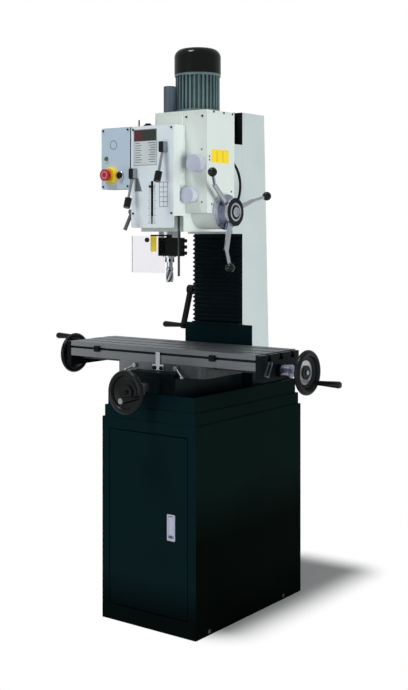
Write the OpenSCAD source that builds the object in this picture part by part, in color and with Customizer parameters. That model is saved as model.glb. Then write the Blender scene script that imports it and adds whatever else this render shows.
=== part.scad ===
// Gear-head drill milling machine on a cabinet stand, in millimetres.
// Origin: centre of the cabinet footprint on the floor. +X right, +Y back, +Z up.

/* [Stand] */
// Width of the cabinet, left to right
cabinet_w = 404; // [390:1:440]
// Depth of the cabinet, front to back
cabinet_d = 647; // [640:1:680]
// Height of the cabinet
cabinet_h = 695; // [680:1:760]
// Thickness of the cabinet and tray sheet
sheet_t = 3; // [2:0.5:4]
// Thickness of the cabinet floor plate
floor_t = 5; // [4:0.5:8]
// Width of the door
door_w = 333; // [280:1:340]
// Frame above the door
door_top = 41; // [36:1:60]
// Frame left of the door
door_left = 34.5; // [30:0.5:45]
// Frame below the door
door_bottom = 58; // [45:1:70]
// Depth of the folded door edge
door_edge = 18; // [14:1:24]
// Gap round the door
door_gap = 3; // [2.5:0.5:5]
// Diameter of the door hinge pins
door_pin_d = 6; // [5:0.5:7]
// Distance between floor bolt holes, left to right
floor_bolt_x = 340; // [300:1:350]
// Distance between floor bolt holes, front to back
floor_bolt_y = 454; // [400:1:500]
// Shift of the floor bolt holes towards the back
floor_bolt_shift = -21; // [-40:1:40]
// Diameter of the floor bolt holes
floor_hole_d = 14; // [10:1:18]
// Height of the chip tray rim above the cabinet
tray_h = 92; // [80:1:94]
// Height of the tray skirt above the cabinet
tray_skirt_h = 40; // [30:1:60]
// Step from the cabinet to the skirt, and from the skirt to the tray wall
tray_step = 8; // [4:1:10]

/* [Base and column] */
// Width of the base casting under the saddle
base_w = 200; // [196:1:206]
// Height of the base casting
base_h = 145; // [140:1:160]
// Width of the base foot and of the column foot
foot_w = 296; // [280:2:310]
// Thickness of the base foot
foot_t = 18; // [14:1:24]
// Front end of the base body, from the middle
base_front = -300; // [-304:1:-290]
// Front end of the base nose, which holds the cross screw
base_nose = -330; // [-345:1:-325]
// Width of the base dovetail
base_way_w = 190; // [170:1:194]
// Height of a dovetail
dovetail_h = 15; // [12:1:16]
// Flare of a dovetail side
dovetail_flare = 8; // [5:0.5:9]
// Front of the column dovetail
column_front = 82; // [76:1:90]
// Width of the column
column_w = 196; // [190:1:240]
// Height of the column above the base
column_h = 917; // [880:1:960]
// Back of the column at its top
column_back = 235; // [225:1:240]
// How much further back the column stands at its foot
column_lean = 33; // [0:1:36]
// Wall of the column
column_wall = 12; // [9:1:14]
// Width of the column dovetail
column_way_w = 146; // [130:1:160]

/* [Table] */
// Length of the table
table_l = 800; // [700:5:900]
// Width of the table
table_w = 240; // [220:1:260]
// Thickness of the table
table_t = 52; // [46:1:60]
// Rest place of the table centre, left to right
table_x = -5; // [-20:1:20]
// Rest place of the table and saddle centre, front to back
table_y = -144; // [-160:1:-130]
// Width of a T-slot neck
slot_w = 14; // [10:1:16]
// Width of a T-slot head
slot_head_w = 24; // [18:1:26]
// Depth of a T-slot neck
slot_neck_h = 13; // [10:1:14]
// Height of a T-slot head
slot_head_h = 10; // [8:1:11]
// Distance between T-slots
slot_pitch = 70; // [63:1:80]
// Width of the table dovetail
table_way_w = 120; // [100:1:140]
// Length of the saddle
saddle_l = 380; // [360:2:390]
// Height of the saddle
saddle_h = 42; // [40:1:50]
// Thickness of a table end bracket
bracket_t = 20; // [14:1:24]
// Depth of a table end bracket, top to bottom
bracket_h = 86; // [70:1:90]

/* [Hand controls] */
// Diameter of the handwheels
wheel_d = 146; // [130:1:150]
// Diameter of a handwheel rim section
rim_d = 20; // [16:1:24]
// Diameter of the handwheel hub
wheel_hub_d = 46; // [34:1:50]
// Depth of the handwheel hub behind its rim
wheel_dish = 12; // [0:1:16]
// Length of a revolving grip
grip_l = 84; // [60:1:100]
// Diameter of a revolving grip
grip_d = 23; // [16:1:24]
// Diameter of the pin that carries a grip
grip_pin_d = 8; // [6:1:10]
// Diameter of the graduated dials
dial_d = 44; // [38:1:50]
// Length of the graduated dials
dial_l = 32; // [24:1:40]
// Diameter of the table and cross screws
screw_d = 15; // [12:1:16]
// Distance of the cross handwheel in front of the base nose
y_wheel_out = 106; // [95:1:120]
// Distance of the right handwheel from its bracket
x_wheel_out_right = 100; // [85:1:110]
// Distance of the left handwheel from its bracket
x_wheel_out_left = 73; // [65:1:90]
// Length of the lift crank
crank_l = 138; // [110:1:150]
// Height of the crank shaft above the base
crank_h = 271; // [250:1:300]
// Distance of the crank from the column side
crank_out = 54; // [36:1:60]

/* [Head] */
// Height of the head slide's lower edge above the base, at rest
head_h = 480; // [440:1:500]
// Height of the head slide
slide_h = 320; // [300:1:330]
// Width of the head slide
slide_w = 200; // [190:1:206]
// Front of the head slide
slide_front = 30; // [20:1:40]
// Width of the quill casting and of the front panel
head_w = 184; // [180:1:190]
// Front of the quill casting
head_front = -246; // [-252:1:-244]
// Front of the front cover
cover_front = -297; // [-305:1:-290]
// Height of the quill casting
head_casting_h = 359; // [350:1:365]
// Rise of the quill casting's lower edge above the slide's
head_rise = 8; // [0:1:12]
// Height of the front cover's lower edge above the slide's
cover_rise = 61; // [50:1:70]
// Wall of the gearbox and of the front cover
shell_t = 8; // [6:1:10]
// Left side of the gearbox
gearbox_left = -38; // [-45:1:-34]
// Right side of the gearbox
gearbox_right = 182; // [176:1:190]
// Front of the gearbox
gearbox_front = -236; // [-238:1:-234]
// Back of the gearbox
gearbox_back = -76; // [-80:1:-60]
// Height of the gearbox's lower edge above the slide's
gearbox_rise = 70; // [66:1:80]
// Height of the gearbox top chamber, without its lid
chamber_h = 38; // [34:1:44]
// Thickness of the gearbox lid
lid_t = 10; // [8:1:14]
// Thickness of the front panels
panel_t = 3; // [2:0.5:4]
// Height of the front panel
panel_h = 344; // [330:1:345]
// Height of the front panel's lower edge above the slide's
panel_rise = 21; // [14:1:30]
// Corner radius of the front panel
panel_r = 8; // [4:1:24]
// Width of the control box
control_w = 135; // [125:1:145]
// Height of the control box
control_h = 212; // [190:1:220]
// Depth of the control box
control_d = 62; // [50:1:70]
// Distance of the control box below the top of the quill casting
control_drop = 0; // [0:1:10]

/* [Spindle and feed] */
// Distance of the spindle axis in front of the column plane
spindle_y = -204; // [-205:0.5:-203]
// Diameter of the quill
quill_d = 75; // [70:1:76]
// Length of the quill
quill_l = 330; // [320:1:334]
// Height of the quill's lower end below the slide's lower edge
quill_drop = 71; // [60:1:80]
// Travel of the quill
quill_travel = 120; // [100:1:125]
// Diameter of the spindle in the quill
spindle_d = 36; // [32:1:38]
// Diameter of the splined spindle end and drawbar
spline_d = 24; // [20:1:26]
// Diameter of the spindle nose
nose_d = 46; // [40:1:56]
// Diameter of the collet nut
collet_d = 32; // [28:1:40]
// Diameter of the end mill
cutter_d = 26; // [16:1:28]
// Length of the end mill below the collet nut
cutter_l = 68; // [50:1:70]
// Distance of the feed shaft behind the spindle axis
feed_offset = 56; // [55:0.5:57]
// Height of the feed shaft above the slide's lower edge
feed_rise = 74; // [72:0.5:78]
// Diameter of the feed shaft
feed_shaft_d = 24; // [20:1:26]
// Diameter of the cast boss round the feed shaft
feed_boss_d = 114; // [100:1:116]
// Radius of the circle of the feed handle balls
feed_r = 190; // [160:1:200]
// Diameter of the feed handle balls
ball_d = 31; // [26:1:38]
// Diameter of the feed handle rods at the hub
feed_rod_d = 20; // [16:0.5:22]
// Diameter of the feed handle rods at their bend
feed_tip_d = 16; // [13:0.5:18]
// Diameter of the feed handle necks
feed_neck_d = 11; // [9:0.5:12]
// Radius at which the feed handles bend
feed_bend_r = 132; // [110:1:145]
// Diameter of the feed hub face
feed_hub_d = 95; // [80:1:100]
// Turn of the first feed handle from the back
feed_turn = 17.6; // [0:0.1:60]

/* [Motor] */
// Place of the motor axis, left to right
motor_x = 60; // [58:0.5:62]
// Place of the motor axis, front to back
motor_y = -124; // [-126:0.5:-122]
// Diameter over the motor fins
motor_d = 154; // [140:1:155]
// Diameter of the motor body under the fins
motor_core_d = 132; // [120:1:136]
// Count of motor fins
fin_n = 32; // [24:1:40]
// Thickness of a motor fin
fin_t = 4; // [3:0.5:6]
// Height of the motor body with its foot
motor_h = 136; // [120:1:150]
// Height of the fan cover
fan_h = 88; // [70:1:100]
// Diameter of the fan cover
fan_d = 161; // [156:1:170]
// Corner radius of the fan cover
fan_r = 30; // [20:1:36]
// Diameter of the drawbar cap
cap_d = 42; // [38:1:44]
// Height of the drawbar cap
cap_h = 92; // [85:1:100]

/* [Guard and bellows] */
// Place of the guard post, left to right
guard_x = 86; // [84:1:88]
// Place of the guard post, front to back
guard_y = -264; // [-270:1:-262]
// Diameter of the guard post
guard_post_d = 8; // [6:0.5:12]
// Length of the guard post below the front cover
guard_post_l = 202; // [180:1:215]
// Reach of the clear guard from its post
guard_reach = 200; // [150:1:210]
// Height of the clear guard
guard_h = 125; // [100:1:130]
// Thickness of the clear guard
guard_t = 4; // [3:0.5:6]
// Count of bellows folds
fold_n = 20; // [14:1:24]
// Thickness of the bellows cloth
fold_t = 2.5; // [2:0.5:3]
// Depth of the bellows folds
fold_d = 16; // [12:1:18]
// Height of the bellows' lower end above the base
bellows_h = 160; // [150:1:180]

/* [Fits] */
// Gap between sliding faces
gap = 0.3; // [0.2:0.05:0.5]
// Radial clearance of shafts in their bores
fit = 0.05; // [0.02:0.01:0.1]

/* [Hidden] */
$fn = 64;
white = "#e6ebe8";
black = "#14191b";
iron = "#6f7378";
steel = "#c3c7cc";
dial_blue = "#9aa3c4";
// overlap of a cut past the face it opens
cut = 1;
// overlap that joins two shapes of one piece
lap = 0.5;

// heights, from the floor up
z_rim = cabinet_h + tray_h;
z_base = cabinet_h + sheet_t;
z_way = z_base + base_h;
z_saddle = z_way + gap;
z_saddle_top = z_saddle + saddle_h;
z_table = z_saddle_top + gap;
z_table_top = z_table + table_t;
z_column_top = z_way + column_h;
z_slide = z_way + head_h;
z_head = z_slide + head_rise;
z_head_top = z_head + head_casting_h;
z_cover = z_slide + cover_rise;
z_gearbox = z_slide + gearbox_rise;
z_lid = z_head_top + chamber_h;
z_motor = z_lid + lid_t;
z_fan = z_motor + motor_h;
z_panel = z_slide + panel_rise;
z_quill = z_slide - quill_drop;
z_feed = z_slide + feed_rise;
z_crank = z_way + crank_h;
z_bellows = z_way + bellows_h;

// stand
cab_x = cabinet_w / 2;
cab_y = cabinet_d / 2;
seam = 0.1;
inside_x = cab_x - sheet_t - seam;
inside_y = cab_y - sheet_t - seam;
wall_top = cabinet_h - sheet_t - seam;
floor_bolts_y = about(floor_bolt_shift, floor_bolt_y / 2);
door_x0 = -cab_x + door_left;
door_x1 = door_x0 + door_w;
door_z1 = cabinet_h - door_top;
door_h = door_z1 - door_bottom;
hinge_in = 7;
hinge_x = door_x0 + hinge_in;
hinge_y = -cab_y + hinge_in;
lug_h = 18;
lug_low = [door_bottom - lug_h - gap, door_bottom - gap];
lug_high = [door_z1 + gap, door_z1 + lug_h + gap];
hinge_pin_l = 12;
notch_w = 16;
notch_h = 14;
tray_x = cab_x - tray_step;
tray_y = cab_y - tray_step / 2;
pan_x = tray_x - tray_step;
pan_y = tray_y - tray_step;
pan_in = [pan_x - sheet_t, pan_y - sheet_t];

// flush pull on the door
latch_w = 33;
latch_h = 87;
latch_x = door_x1 - 65;
latch_z = door_bottom + door_h / 2 - 2;
latch_lip = 2;
latch_deep = 14;
latch_wall = 2;
latch_r = 3;
paddle_pin_l = 2.5;
paddle_h = 60;
paddle_w = latch_w - 11;
paddle_t = 3;
paddle_pin_r = 2;
paddle_z = latch_z + latch_h / 2 - 9;
paddle_y = -cab_y + 2;

// base and column
foot_x = foot_w / 2;
core_wall = 14;
shoulder_y = column_front + dovetail_h - 3;
base_back = column_back + column_lean + 7;
y_axis_z = z_way - 38;
y_channel_w = 48;
nose_w = 66;
y_channel_end = 60;
y_channel_front = base_front + 24;
way_back = column_front - 24;
core_end = 20;
core_z = y_axis_z - 34;
nose_z = z_rim + 2.5;
crank_boss_r = 25;
crank_boss_l = 18;
foot_bolts = [[-foot_x + 22, shoulder_y + 16], [foot_x - 22, shoulder_y + 16],
              [-foot_x + 22, base_back - 22], [foot_x - 22, base_back - 22]];
base_bolts = [[-foot_x + 18, base_front + 60], [foot_x - 18, base_front + 60],
              [-foot_x + 18, -20], [foot_x - 18, -20]];
bolt_r = 6;
bolt_in = 24;
lift_y = column_front + 43;
lift_r = 11;
lift_journal_r = 8;
thread_z = z_crank + 40;
bevel_near = 12;
bevel_far = 19;
plate_t = 3;
plate_w = 298;
plate_rise = 37;
plate_screw_x = column_way_w * 0.28;
shelf_t = 6;
plate_screw_z = z_bellows - shelf_t - 10;
plate_screw_r = 3;
bellows_w = slide_w + 8;

// table
table_x0 = table_x - table_l / 2;
table_x1 = table_x + table_l / 2;
table_y0 = table_y - table_w / 2;
table_y1 = table_y + table_w / 2;
screw_r = screw_d / 2;
x_axis_z = z_table - screw_r + 0.5;
x_channel_w = 30;
x_channel_top = x_axis_z + screw_r + 6;
side_slot_z = z_table_top - 21;
side_slot_w = 8;
side_slot_d = 7;
bracket_z1 = z_table_top - 2;
bracket_z0 = bracket_z1 - bracket_h;
boss_l = 8;
boss_r = screw_r + 12;
dog_w = 22;
dog_h = 20;
dog_t = 9;
dog_in = [128, 168];
dog_x = [table_x0 + dog_in[0], table_x1 - dog_in[1]];

hook_r = 2.5;
hook_points = [[41, 60], [18, 22], [38, 15.5], [61, 57]];
saddle_r = 24;

// clamp levers of the saddle
lock_x = [-98, base_way_w / 2 - 13];
lock_lever_z = z_saddle_top - 12;
lock_pin_r = 5;
lock_pin_l = 18;
lock_knob_r = 8;
lock_knob_l = 16;
lock_rod_r = 3.5;
lock_ball_r = 7;
table_lock_arm = [-27, -17, -16];
saddle_lock_arm = [base_w / 2 + 18 - lock_x[1], -17, -26];
stop_z = z_way + dovetail_h + 2;
stop_t = 5;
stop_w = 48;
stop_tongue_w = 18;
stop_bolt_x = 15;
stop_bolt_z = z_saddle + 26;
stop_bolt_r = 4;
x_nut_l = 44;
y_nut_l = 40;
y_nut_w = 36;

// hand controls
wheel_r = wheel_d / 2;
grip_r = wheel_r - rim_d / 2 - 4;
grip_lift = rim_d / 2 + 1 + gap;
grip_end = 6;
wheel_flat = 16;
shaft_out = rim_d / 2 - wheel_dish + 4;
crank_hub_r = 18;
crank_hub_l = 12;
crank_eye_r = 13;
x_right = table_x1 + bracket_t + x_wheel_out_right;
x_left = table_x0 - bracket_t - x_wheel_out_left;
y_wheel_y = base_nose - y_wheel_out;
grip_angle_right = -39;
grip_angle_left = 84;
grip_angle_y = -12;
crank_x = -column_w / 2 - crank_out;
crank_arm_t = 14;
crank_arm_w = 18;
crank_tilt = atan2(-131, -44);
crank_dir = [0, cos(crank_tilt), sin(crank_tilt)];

// head
head_x = head_w / 2;
slide_x = slide_w / 2;
slide_back = shoulder_y - gap;
panel_front = cover_front - panel_t;
quill_r = quill_d / 2;
nose_h = 8;
z_collet = z_quill - 26;
rack_n = 21;
rack_pitch = 8;
rack_w = 18;
rack_d = 3;
feed_y = spindle_y + feed_offset;
pinion_pitch = feed_offset - quill_r;
pinion_r = pinion_pitch - gap;
pinion_l = 24;
feed_in = 40;
hub_flange = 14;
hub_rim = 6;
hub_ring_r = feed_hub_d / 2 + 12;
hub_x0 = gearbox_right + 10;
hub_x1 = hub_x0 + 45;
hub_rod_x = hub_x0 + 27;
feed_step = 24;
feed_root_r = feed_hub_d / 2 - 24;
feed_bend = [feed_bend_r - 4, 0, 0];
feed_ball = [feed_r, -feed_step, 0];
feed_end = feed_ball - 11 * (feed_ball - feed_bend) / norm(feed_ball - feed_bend);
pocket_z = z_head_top - 45;
bulge_x = [gearbox_left + 13, head_x - 7];
nut_z = z_slide + slide_h - 55;
nut_h = 40;
nut_w = 40;
slot_down = 215;
slot_up = 115;
lift_slot = [nut_z - slot_down, nut_z + nut_h + slot_up];
control_x1 = -head_x;
control_x0 = control_x1 - control_w;
control_z1 = z_head_top - control_drop;
control_z0 = control_z1 - control_h;
control_panel_w = control_w - 6;
control_in = 9;
control_r = 6;
estop_r = 20;
estop_stem_r = 9;
estop_out = 36;
button_r = 10;
button_out = 9;
button_stem_r = 5;
stem_l = 16;
lamp_r = 6.5;
lamp_out = 6;
point_slot_w = 10;
point_rise = [13, 158];
point_z1 = z_panel + point_rise[1];
point_z0 = z_panel + point_rise[0];
pointer_z = point_z0 + quill_travel + 6;
pointer_r = 3;
pointer_in = 8;
pointer_out = 6;
pointer_w = 18;
pointer_h = 8;
dial_upper = [gearbox_right - 35, z_slide + 236];
dial_lower = [gearbox_right - 62, z_slide + 130];
dial_upper_r = 29;
dial_lower_r = 26;
dial_flange = 1;
dial_flange_t = 5;
dial_out = 29;
dial_stem_r = 7;
lever_x = [-75, 56];
lever_rise = [205, 291];
lever_left = [lever_x[0], z_slide + lever_rise[0]];
lever_right = [lever_x[1], z_slide + lever_rise[1]];
lever_hub = [20, 36, 22];
lever_stem_r = 7;
lever_rod_r = 4.5;
lever_knob = [3, -42, -100];
lever_knob_half = [0.3, -5.5, -16];
lever_knob_r = 12;
lock_y = cover_front + 14;
lock_z = z_slide + 76;
lock_hub_l = 20;
lock_hub_r = 9;
lock_stem_r = 5;
lock_arm = [-14, -22, -62];
lock_arm_r = 6.5;
stem_in = 6;
estop = [control_x0 + 44, control_z0 + 48];
start = [control_x0 + 87, control_z0 + 47];
lamp = [control_x0 + 24, control_z0 + 106];
cover_peg = [-head_x + 12, head_front - 26];
peg_r = 2.5;
peg_h = 24;
cover_plug = [-head_x + 50, head_front - 24];
plug_r = 15;
plug_h = 5;
panel_screw_in = 9;
screw_head_r = 3.5;
screw_head_h = 2.5;
screw_shank_r = 2;
screw_shank_l = 7;
cable_r = 4.5;
gland_r = 8;
gland_l = 8;
cable_rise = [82, 252];
cable_top = z_slide + cable_rise[1];
cable_bottom = z_slide + cable_rise[0];
cable_x = gearbox_right - 18;
cable_chord = cable_top - cable_bottom;
cable_reach = 57;
cable_tip_y = gearbox_back + gland_l / 2 + cable_reach;
cable_bend_r = (pow(cable_chord / 2, 2) + pow(cable_reach, 2)) / (2 * cable_reach);
cable_half = asin(cable_chord / 2 / cable_bend_r);

// gear train: module 2 gears with teeth cut to just under their pitch circles
module_mm = 2;
pinion_n = 16;
wheel_n = 38;
small_n = 20;
sleeve_n = 36;
cluster_pos = [50, -178];
gear_t = 18;
low_gear_z = pocket_z + 6;
high_gear_z = z_head_top + 10;
sleeve_r = 17;
cluster_shaft_r = 8;
cluster_in = 12;
sleeve_out = 6;
motor_shaft_r = 9.5;
motor_ring_h = 8;
motor_foot_h = 12;
fin_in = 3;
stator_end = 16;
stator_r = 50;
blade_r = fan_d / 2 - 14;
blade_t = 3;
fan_wall = 3;
vent_w = 5;
vent_in = 16;
cap_wall = 4;
cap_edge = 3;

// guard
guard_z1 = z_slide - 7;
guard_z0 = guard_z1 - guard_h;
bracket_plate_w = 78;
guard_block_h = 62;
guard_block_w = 28;
guard_face = guard_y - 2;
guard_plate_t = 6;
guard_bar_x = [guard_x - 118, guard_x - 32];
guard_knob_r = 6;
guard_knob_l = 12;
guard_bar_h = 5;

/* Shared shapes */
function about(c, half) = [c - half, c + half];

module span(x, y, z)
    translate([x[0], y[0], z[0]])
        cube([x[1] - x[0], y[1] - y[0], z[1] - z[0]]);

module rod_x(x, y, z, r)
    translate([x[0], y, z])
        rotate([0, 90, 0])
            cylinder(h = x[1] - x[0], r = r);

module rod_y(y, x, z, r)
    translate([x, y[0], z])
        rotate([-90, 0, 0])
            cylinder(h = y[1] - y[0], r = r);

module rod_z(z, x, y, r)
    translate([x, y, z[0]])
        cylinder(h = z[1] - z[0], r = r);

// straight round bar between two points
module bar(a, b, r) {
    v = b - a;
    translate(a)
        rotate([0, acos(v[2] / norm(v)), atan2(v[1], v[0])])
            cylinder(h = norm(v), r = r);
}

// round bar that ends in a ball
module ball_bar(a, b, r, ball_r) {
    v = b - a;
    translate(a)
        rotate([0, acos(v[2] / norm(v)), atan2(v[1], v[0])]) {
            cylinder(h = norm(v), r = r);
            translate([0, 0, norm(v)])
                sphere(ball_r);
        }
}

module round_rect(w, h, r) {
    square([w - 2 * r, h], center = true);
    square([w, h - 2 * r], center = true);
    for (sx = [-1, 1], sy = [-1, 1])
        translate([sx * (w / 2 - r), sy * (h / 2 - r)])
            circle(r);
}

// dovetail seen along its length: root on the x axis, wide edge at the top
module dovetail(w, h, grow = 0)
    polygon([
        [-w / 2 + dovetail_flare - grow, 0], [w / 2 - dovetail_flare + grow, 0],
        [w / 2 + grow, h + grow], [-w / 2 - grow, h + grow]
    ]);

// plate facing the front, centred at x and z, its back face at y
module front_plate(x, y, z, w, h, r, t)
    translate([x, y, z])
        rotate([90, 0, 0])
            linear_extrude(t)
                round_rect(w, h, r);

// spur gear, axis up, teeth just inside the pitch circle
module spur(n, t) {
    r = n * module_mm / 2 - 0.2;
    root = r - 2 * module_mm;
    tooth = PI * r / n;
    cylinder(h = t, r = root);
    for (i = [0:n - 1])
        rotate(i * 360 / n)
            translate([root - 1, -tooth / 2, 0])
                cube([r - root + 1 - tooth * tooth / (8 * r), tooth, t]);
}

// dished handwheel about the z axis: rim, web, hub and the pin of its grip, outer face up
module handwheel(bore_r) {
    rim = rim_d / 2;
    web = rim * 0.45;
    flat_r = wheel_hub_d / 2 + wheel_flat;
    difference() {
        union() {
            rotate_extrude()
                translate([wheel_r - rim, 0])
                    circle(rim);
            // web, dished from the rim back to the flat round the hub
            rotate_extrude()
                polygon([
                    [0, -wheel_dish - web], [flat_r, -wheel_dish - web], [wheel_r - rim, -web],
                    [wheel_r - rim, web], [flat_r, web - wheel_dish], [0, web - wheel_dish]
                ]);
            translate([0, 0, -wheel_dish - rim])
                cylinder(h = rim_d, r = wheel_hub_d / 2);
            translate([grip_r, 0, 0])
                cylinder(h = grip_lift - gap, r = grip_pin_d);
            translate([grip_r, 0, 0])
                cylinder(h = grip_l - grip_end - 2, r = grip_pin_d / 2);
        }
        translate([0, 0, -wheel_dish - rim - cut])
            cylinder(h = rim_d + 2 * cut, r = bore_r);
    }
}

// revolving grip along z, thicker towards its free end, its inner end at z = 0
module grip() {
    r = grip_d / 2;
    difference() {
        union() {
            cylinder(h = grip_l - grip_end, r1 = r * 0.65, r2 = r);
            translate([0, 0, grip_l - grip_end])
                cylinder(h = grip_end, r1 = r, r2 = r * 0.8);
        }
        translate([0, 0, -cut])
            cylinder(h = grip_l - grip_end + cut, r = grip_pin_d / 2 + fit);
    }
}

// pan head screw on a face at the origin, its head up
module screw() {
    cylinder(h = screw_head_h, r = screw_head_r);
    translate([0, 0, -screw_shank_l])
        cylinder(h = screw_shank_l, r = screw_shank_r);
}

// hole for the shank of a screw, from its face down
module screw_hole(l)
    translate([0, 0, -l])
        cylinder(h = l + cut, r = screw_shank_r + fit);

// hexagon bolt with its head standing on a face at the origin
module bolt(r, l) {
    cylinder(h = r * 1.2, r = r * 1.8, $fn = 6);
    translate([0, 0, -l])
        cylinder(h = l, r = r);
}

/* Stand */
// welded sheets of the cabinet, each a seam's width from the next
module cabinet()
    color(black) {
        for (sx = [-1, 1])
            cabinet_side(sx);
        span([-cab_x, cab_x], [cab_y - sheet_t, cab_y], [0, wall_top]);
        cabinet_front();
        difference() {
            span([-cab_x, cab_x], [-cab_y, cab_y], [cabinet_h - sheet_t, cabinet_h]);
            for (p = base_bolts)
                rod_z([cabinet_h - sheet_t - cut, cabinet_h + cut], p[0], p[1], bolt_r + fit);
        }
        difference() {
            span(about(0, inside_x), about(0, inside_y), [0, floor_t]);
            for (sx = [-1, 1], y = floor_bolts_y)
                rod_z([-cut, floor_t + cut], sx * floor_bolt_x / 2, y, floor_hole_d / 2);
        }
    }

// side sheet with its notches over the floor bolts
module cabinet_side(s)
    difference() {
        span(about(s * (cab_x - sheet_t / 2), sheet_t / 2), about(0, inside_y), [0, wall_top]);
        for (y = floor_bolts_y)
            span(about(s * cab_x, sheet_t + cut), about(y, notch_w / 2), [floor_t, floor_t + notch_h]);
    }

// front frame with the lugs of the door hinges
module cabinet_front()
    difference() {
        union() {
            difference() {
                span([-cab_x, cab_x], [-cab_y, -cab_y + sheet_t], [0, wall_top]);
                span([door_x0 - door_gap, door_x1 + door_gap], [-cab_y - cut, -cab_y + sheet_t + cut],
                     [door_bottom - door_gap, door_z1 + door_gap]);
            }
            for (z = [lug_low, lug_high])
                span([hinge_x - 3 * hinge_in, hinge_x + 2 * hinge_in],
                     [-cab_y + sheet_t - lap, hinge_y + 2 * hinge_in], z);
        }
        for (z = [lug_low + [-cut, gap], lug_high + [-gap, cut]])
            rod_z(z, hinge_x, hinge_y, door_pin_d / 2 + fit);
    }

module chip_tray()
    color(black)
        difference() {
            union() {
                span([-tray_x, tray_x], [-tray_y, tray_y], [cabinet_h, cabinet_h + tray_skirt_h]);
                span([-pan_x, pan_x], [-pan_y, pan_y], [cabinet_h, z_rim]);
            }
            span(about(0, pan_in[0]), about(0, pan_in[1]), [z_base, z_rim + cut]);
            for (p = base_bolts)
                rod_z([cabinet_h - cut, z_base + cut], p[0], p[1], bolt_r + fit);
        }

module machine_bolts()
    color(steel) {
        for (p = base_bolts)
            translate([p[0], p[1], z_base + foot_t])
                bolt(bolt_r, foot_t + sheet_t * 2 + bolt_r);
        for (p = foot_bolts)
            translate([p[0], p[1], z_way + foot_t])
                bolt(bolt_r, foot_t + bolt_in);
        for (sx = [-1, 1])
            translate([sx * plate_screw_x, column_front - plate_t, plate_screw_z])
                rotate([90, 0, 0])
                    bolt(plate_screw_r, plate_t);
        rod_z([door_z1 - hinge_pin_l, door_z1 + lug_h], hinge_x, hinge_y, door_pin_d / 2);
        rod_z([door_bottom - lug_h, door_bottom + hinge_pin_l], hinge_x, hinge_y, door_pin_d / 2);
    }

module base_casting()
    color(black)
        difference() {
            union() {
                span([-base_w / 2, base_w / 2], [base_front, base_back], [z_base, z_way]);
                span([-foot_x, foot_x], [base_front + core_end, base_back], [z_base, z_base + foot_t]);
                span([-foot_x, foot_x], [column_front + 4, base_back], [z_base, z_way]);
                span([-nose_w / 2, nose_w / 2], [base_nose, base_front + cut], [nose_z, z_way]);
                translate([0, way_back, z_way])
                    rotate([90, 0, 0])
                        linear_extrude(way_back - base_front)
                            dovetail(base_way_w, dovetail_h);
            }
            span(about(0, y_channel_w / 2), [y_channel_front, y_channel_end],
                 [y_axis_z - screw_d - 5, z_way + dovetail_h + cut]);
            rod_y([base_nose - cut, y_channel_end + core_end], 0, y_axis_z, screw_r + fit);
            span(about(0, base_w / 2 - core_wall), [base_front + core_end, base_back - core_end],
                 [z_base - cut, core_z]);
            span(about(0, foot_x - core_wall), [shoulder_y + core_wall / 2, base_back - core_wall],
                 [z_base - cut, z_way - bolt_in - core_wall]);
            for (p = base_bolts)
                rod_z([z_base - cut, z_base + foot_t + cut], p[0], p[1], bolt_r + fit);
            for (p = foot_bolts)
                rod_z([z_way - bolt_in - bolt_r, z_way + cut], p[0], p[1], bolt_r + fit);
        }

module column()
    color(white)
        difference() {
            union() {
                translate([-column_w / 2, 0, 0])
                    rotate([90, 0, 90])
                        linear_extrude(column_w)
                            polygon([
                                [shoulder_y, z_way], [column_back + column_lean, z_way],
                                [column_back, z_column_top], [shoulder_y, z_column_top]
                            ]);
                translate([0, shoulder_y, z_way])
                    linear_extrude(column_h)
                        mirror([0, 1])
                            dovetail(column_way_w, shoulder_y - column_front);
                span([-foot_x, foot_x], [column_front + 4, base_back], [z_way, z_way + foot_t]);
                rod_x([-column_w / 2 - crank_boss_l, -column_w / 2 + cut], lift_y, z_crank, crank_boss_r);
            }
            translate([-column_w / 2 + column_wall, 0, 0])
                rotate([90, 0, 90])
                    linear_extrude(column_w - 2 * column_wall)
                        polygon([
                            [shoulder_y + column_wall, z_way + foot_t],
                            [column_back + column_lean - column_wall, z_way + foot_t],
                            [column_back - column_wall, z_column_top - column_wall],
                            [shoulder_y + column_wall, z_column_top - column_wall]
                        ]);
            span(about(0, nut_w / 2 + 8), [column_front - cut, lift_y], lift_slot);
            rod_x([-column_w / 2 - crank_boss_l - cut, 0], lift_y, z_crank, lift_journal_r + fit);
            rod_z([z_way - cut, z_way + foot_t + cut], 0, lift_y, lift_journal_r + fit);
            for (p = foot_bolts)
                rod_z([z_way - cut, z_way + foot_t + cut], p[0], p[1], bolt_r + fit);
        }

module way_plate()
    color(black)
        difference() {
            union() {
                span([-plate_w / 2, plate_w / 2], [column_front - plate_t, column_front],
                     [z_way + plate_rise, z_bellows - shelf_t]);
                span([-bellows_w / 2, bellows_w / 2], [column_front - fold_d - shelf_t, column_front],
                     [z_bellows - shelf_t, z_bellows - gap]);
            }
            for (sx = [-1, 1])
                rod_y([column_front - plate_t - cut, column_front + cut], sx * plate_screw_x, plate_screw_z,
                      plate_screw_r + fit);
        }

// pleated cover of the column ways: one folded sheet, seen along x
module column_bellows() {
    y0 = column_front - fold_d - 2;
    pitch = (z_slide - gap - z_bellows) / fold_n;
    inner = [for (i = [0:2 * fold_n]) [i % 2 == 0 ? y0 + fold_d - fold_t : y0, z_bellows + i * pitch / 2]];
    outer = [for (p = inner) [p[0] + fold_t, p[1]]];
    color(black)
        translate([-bellows_w / 2, 0, 0])
            rotate([90, 0, 90])
                linear_extrude(bellows_w)
                    polygon([for (p = inner) p, for (i = [len(outer) - 1:-1:0]) outer[i]]);
}

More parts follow.
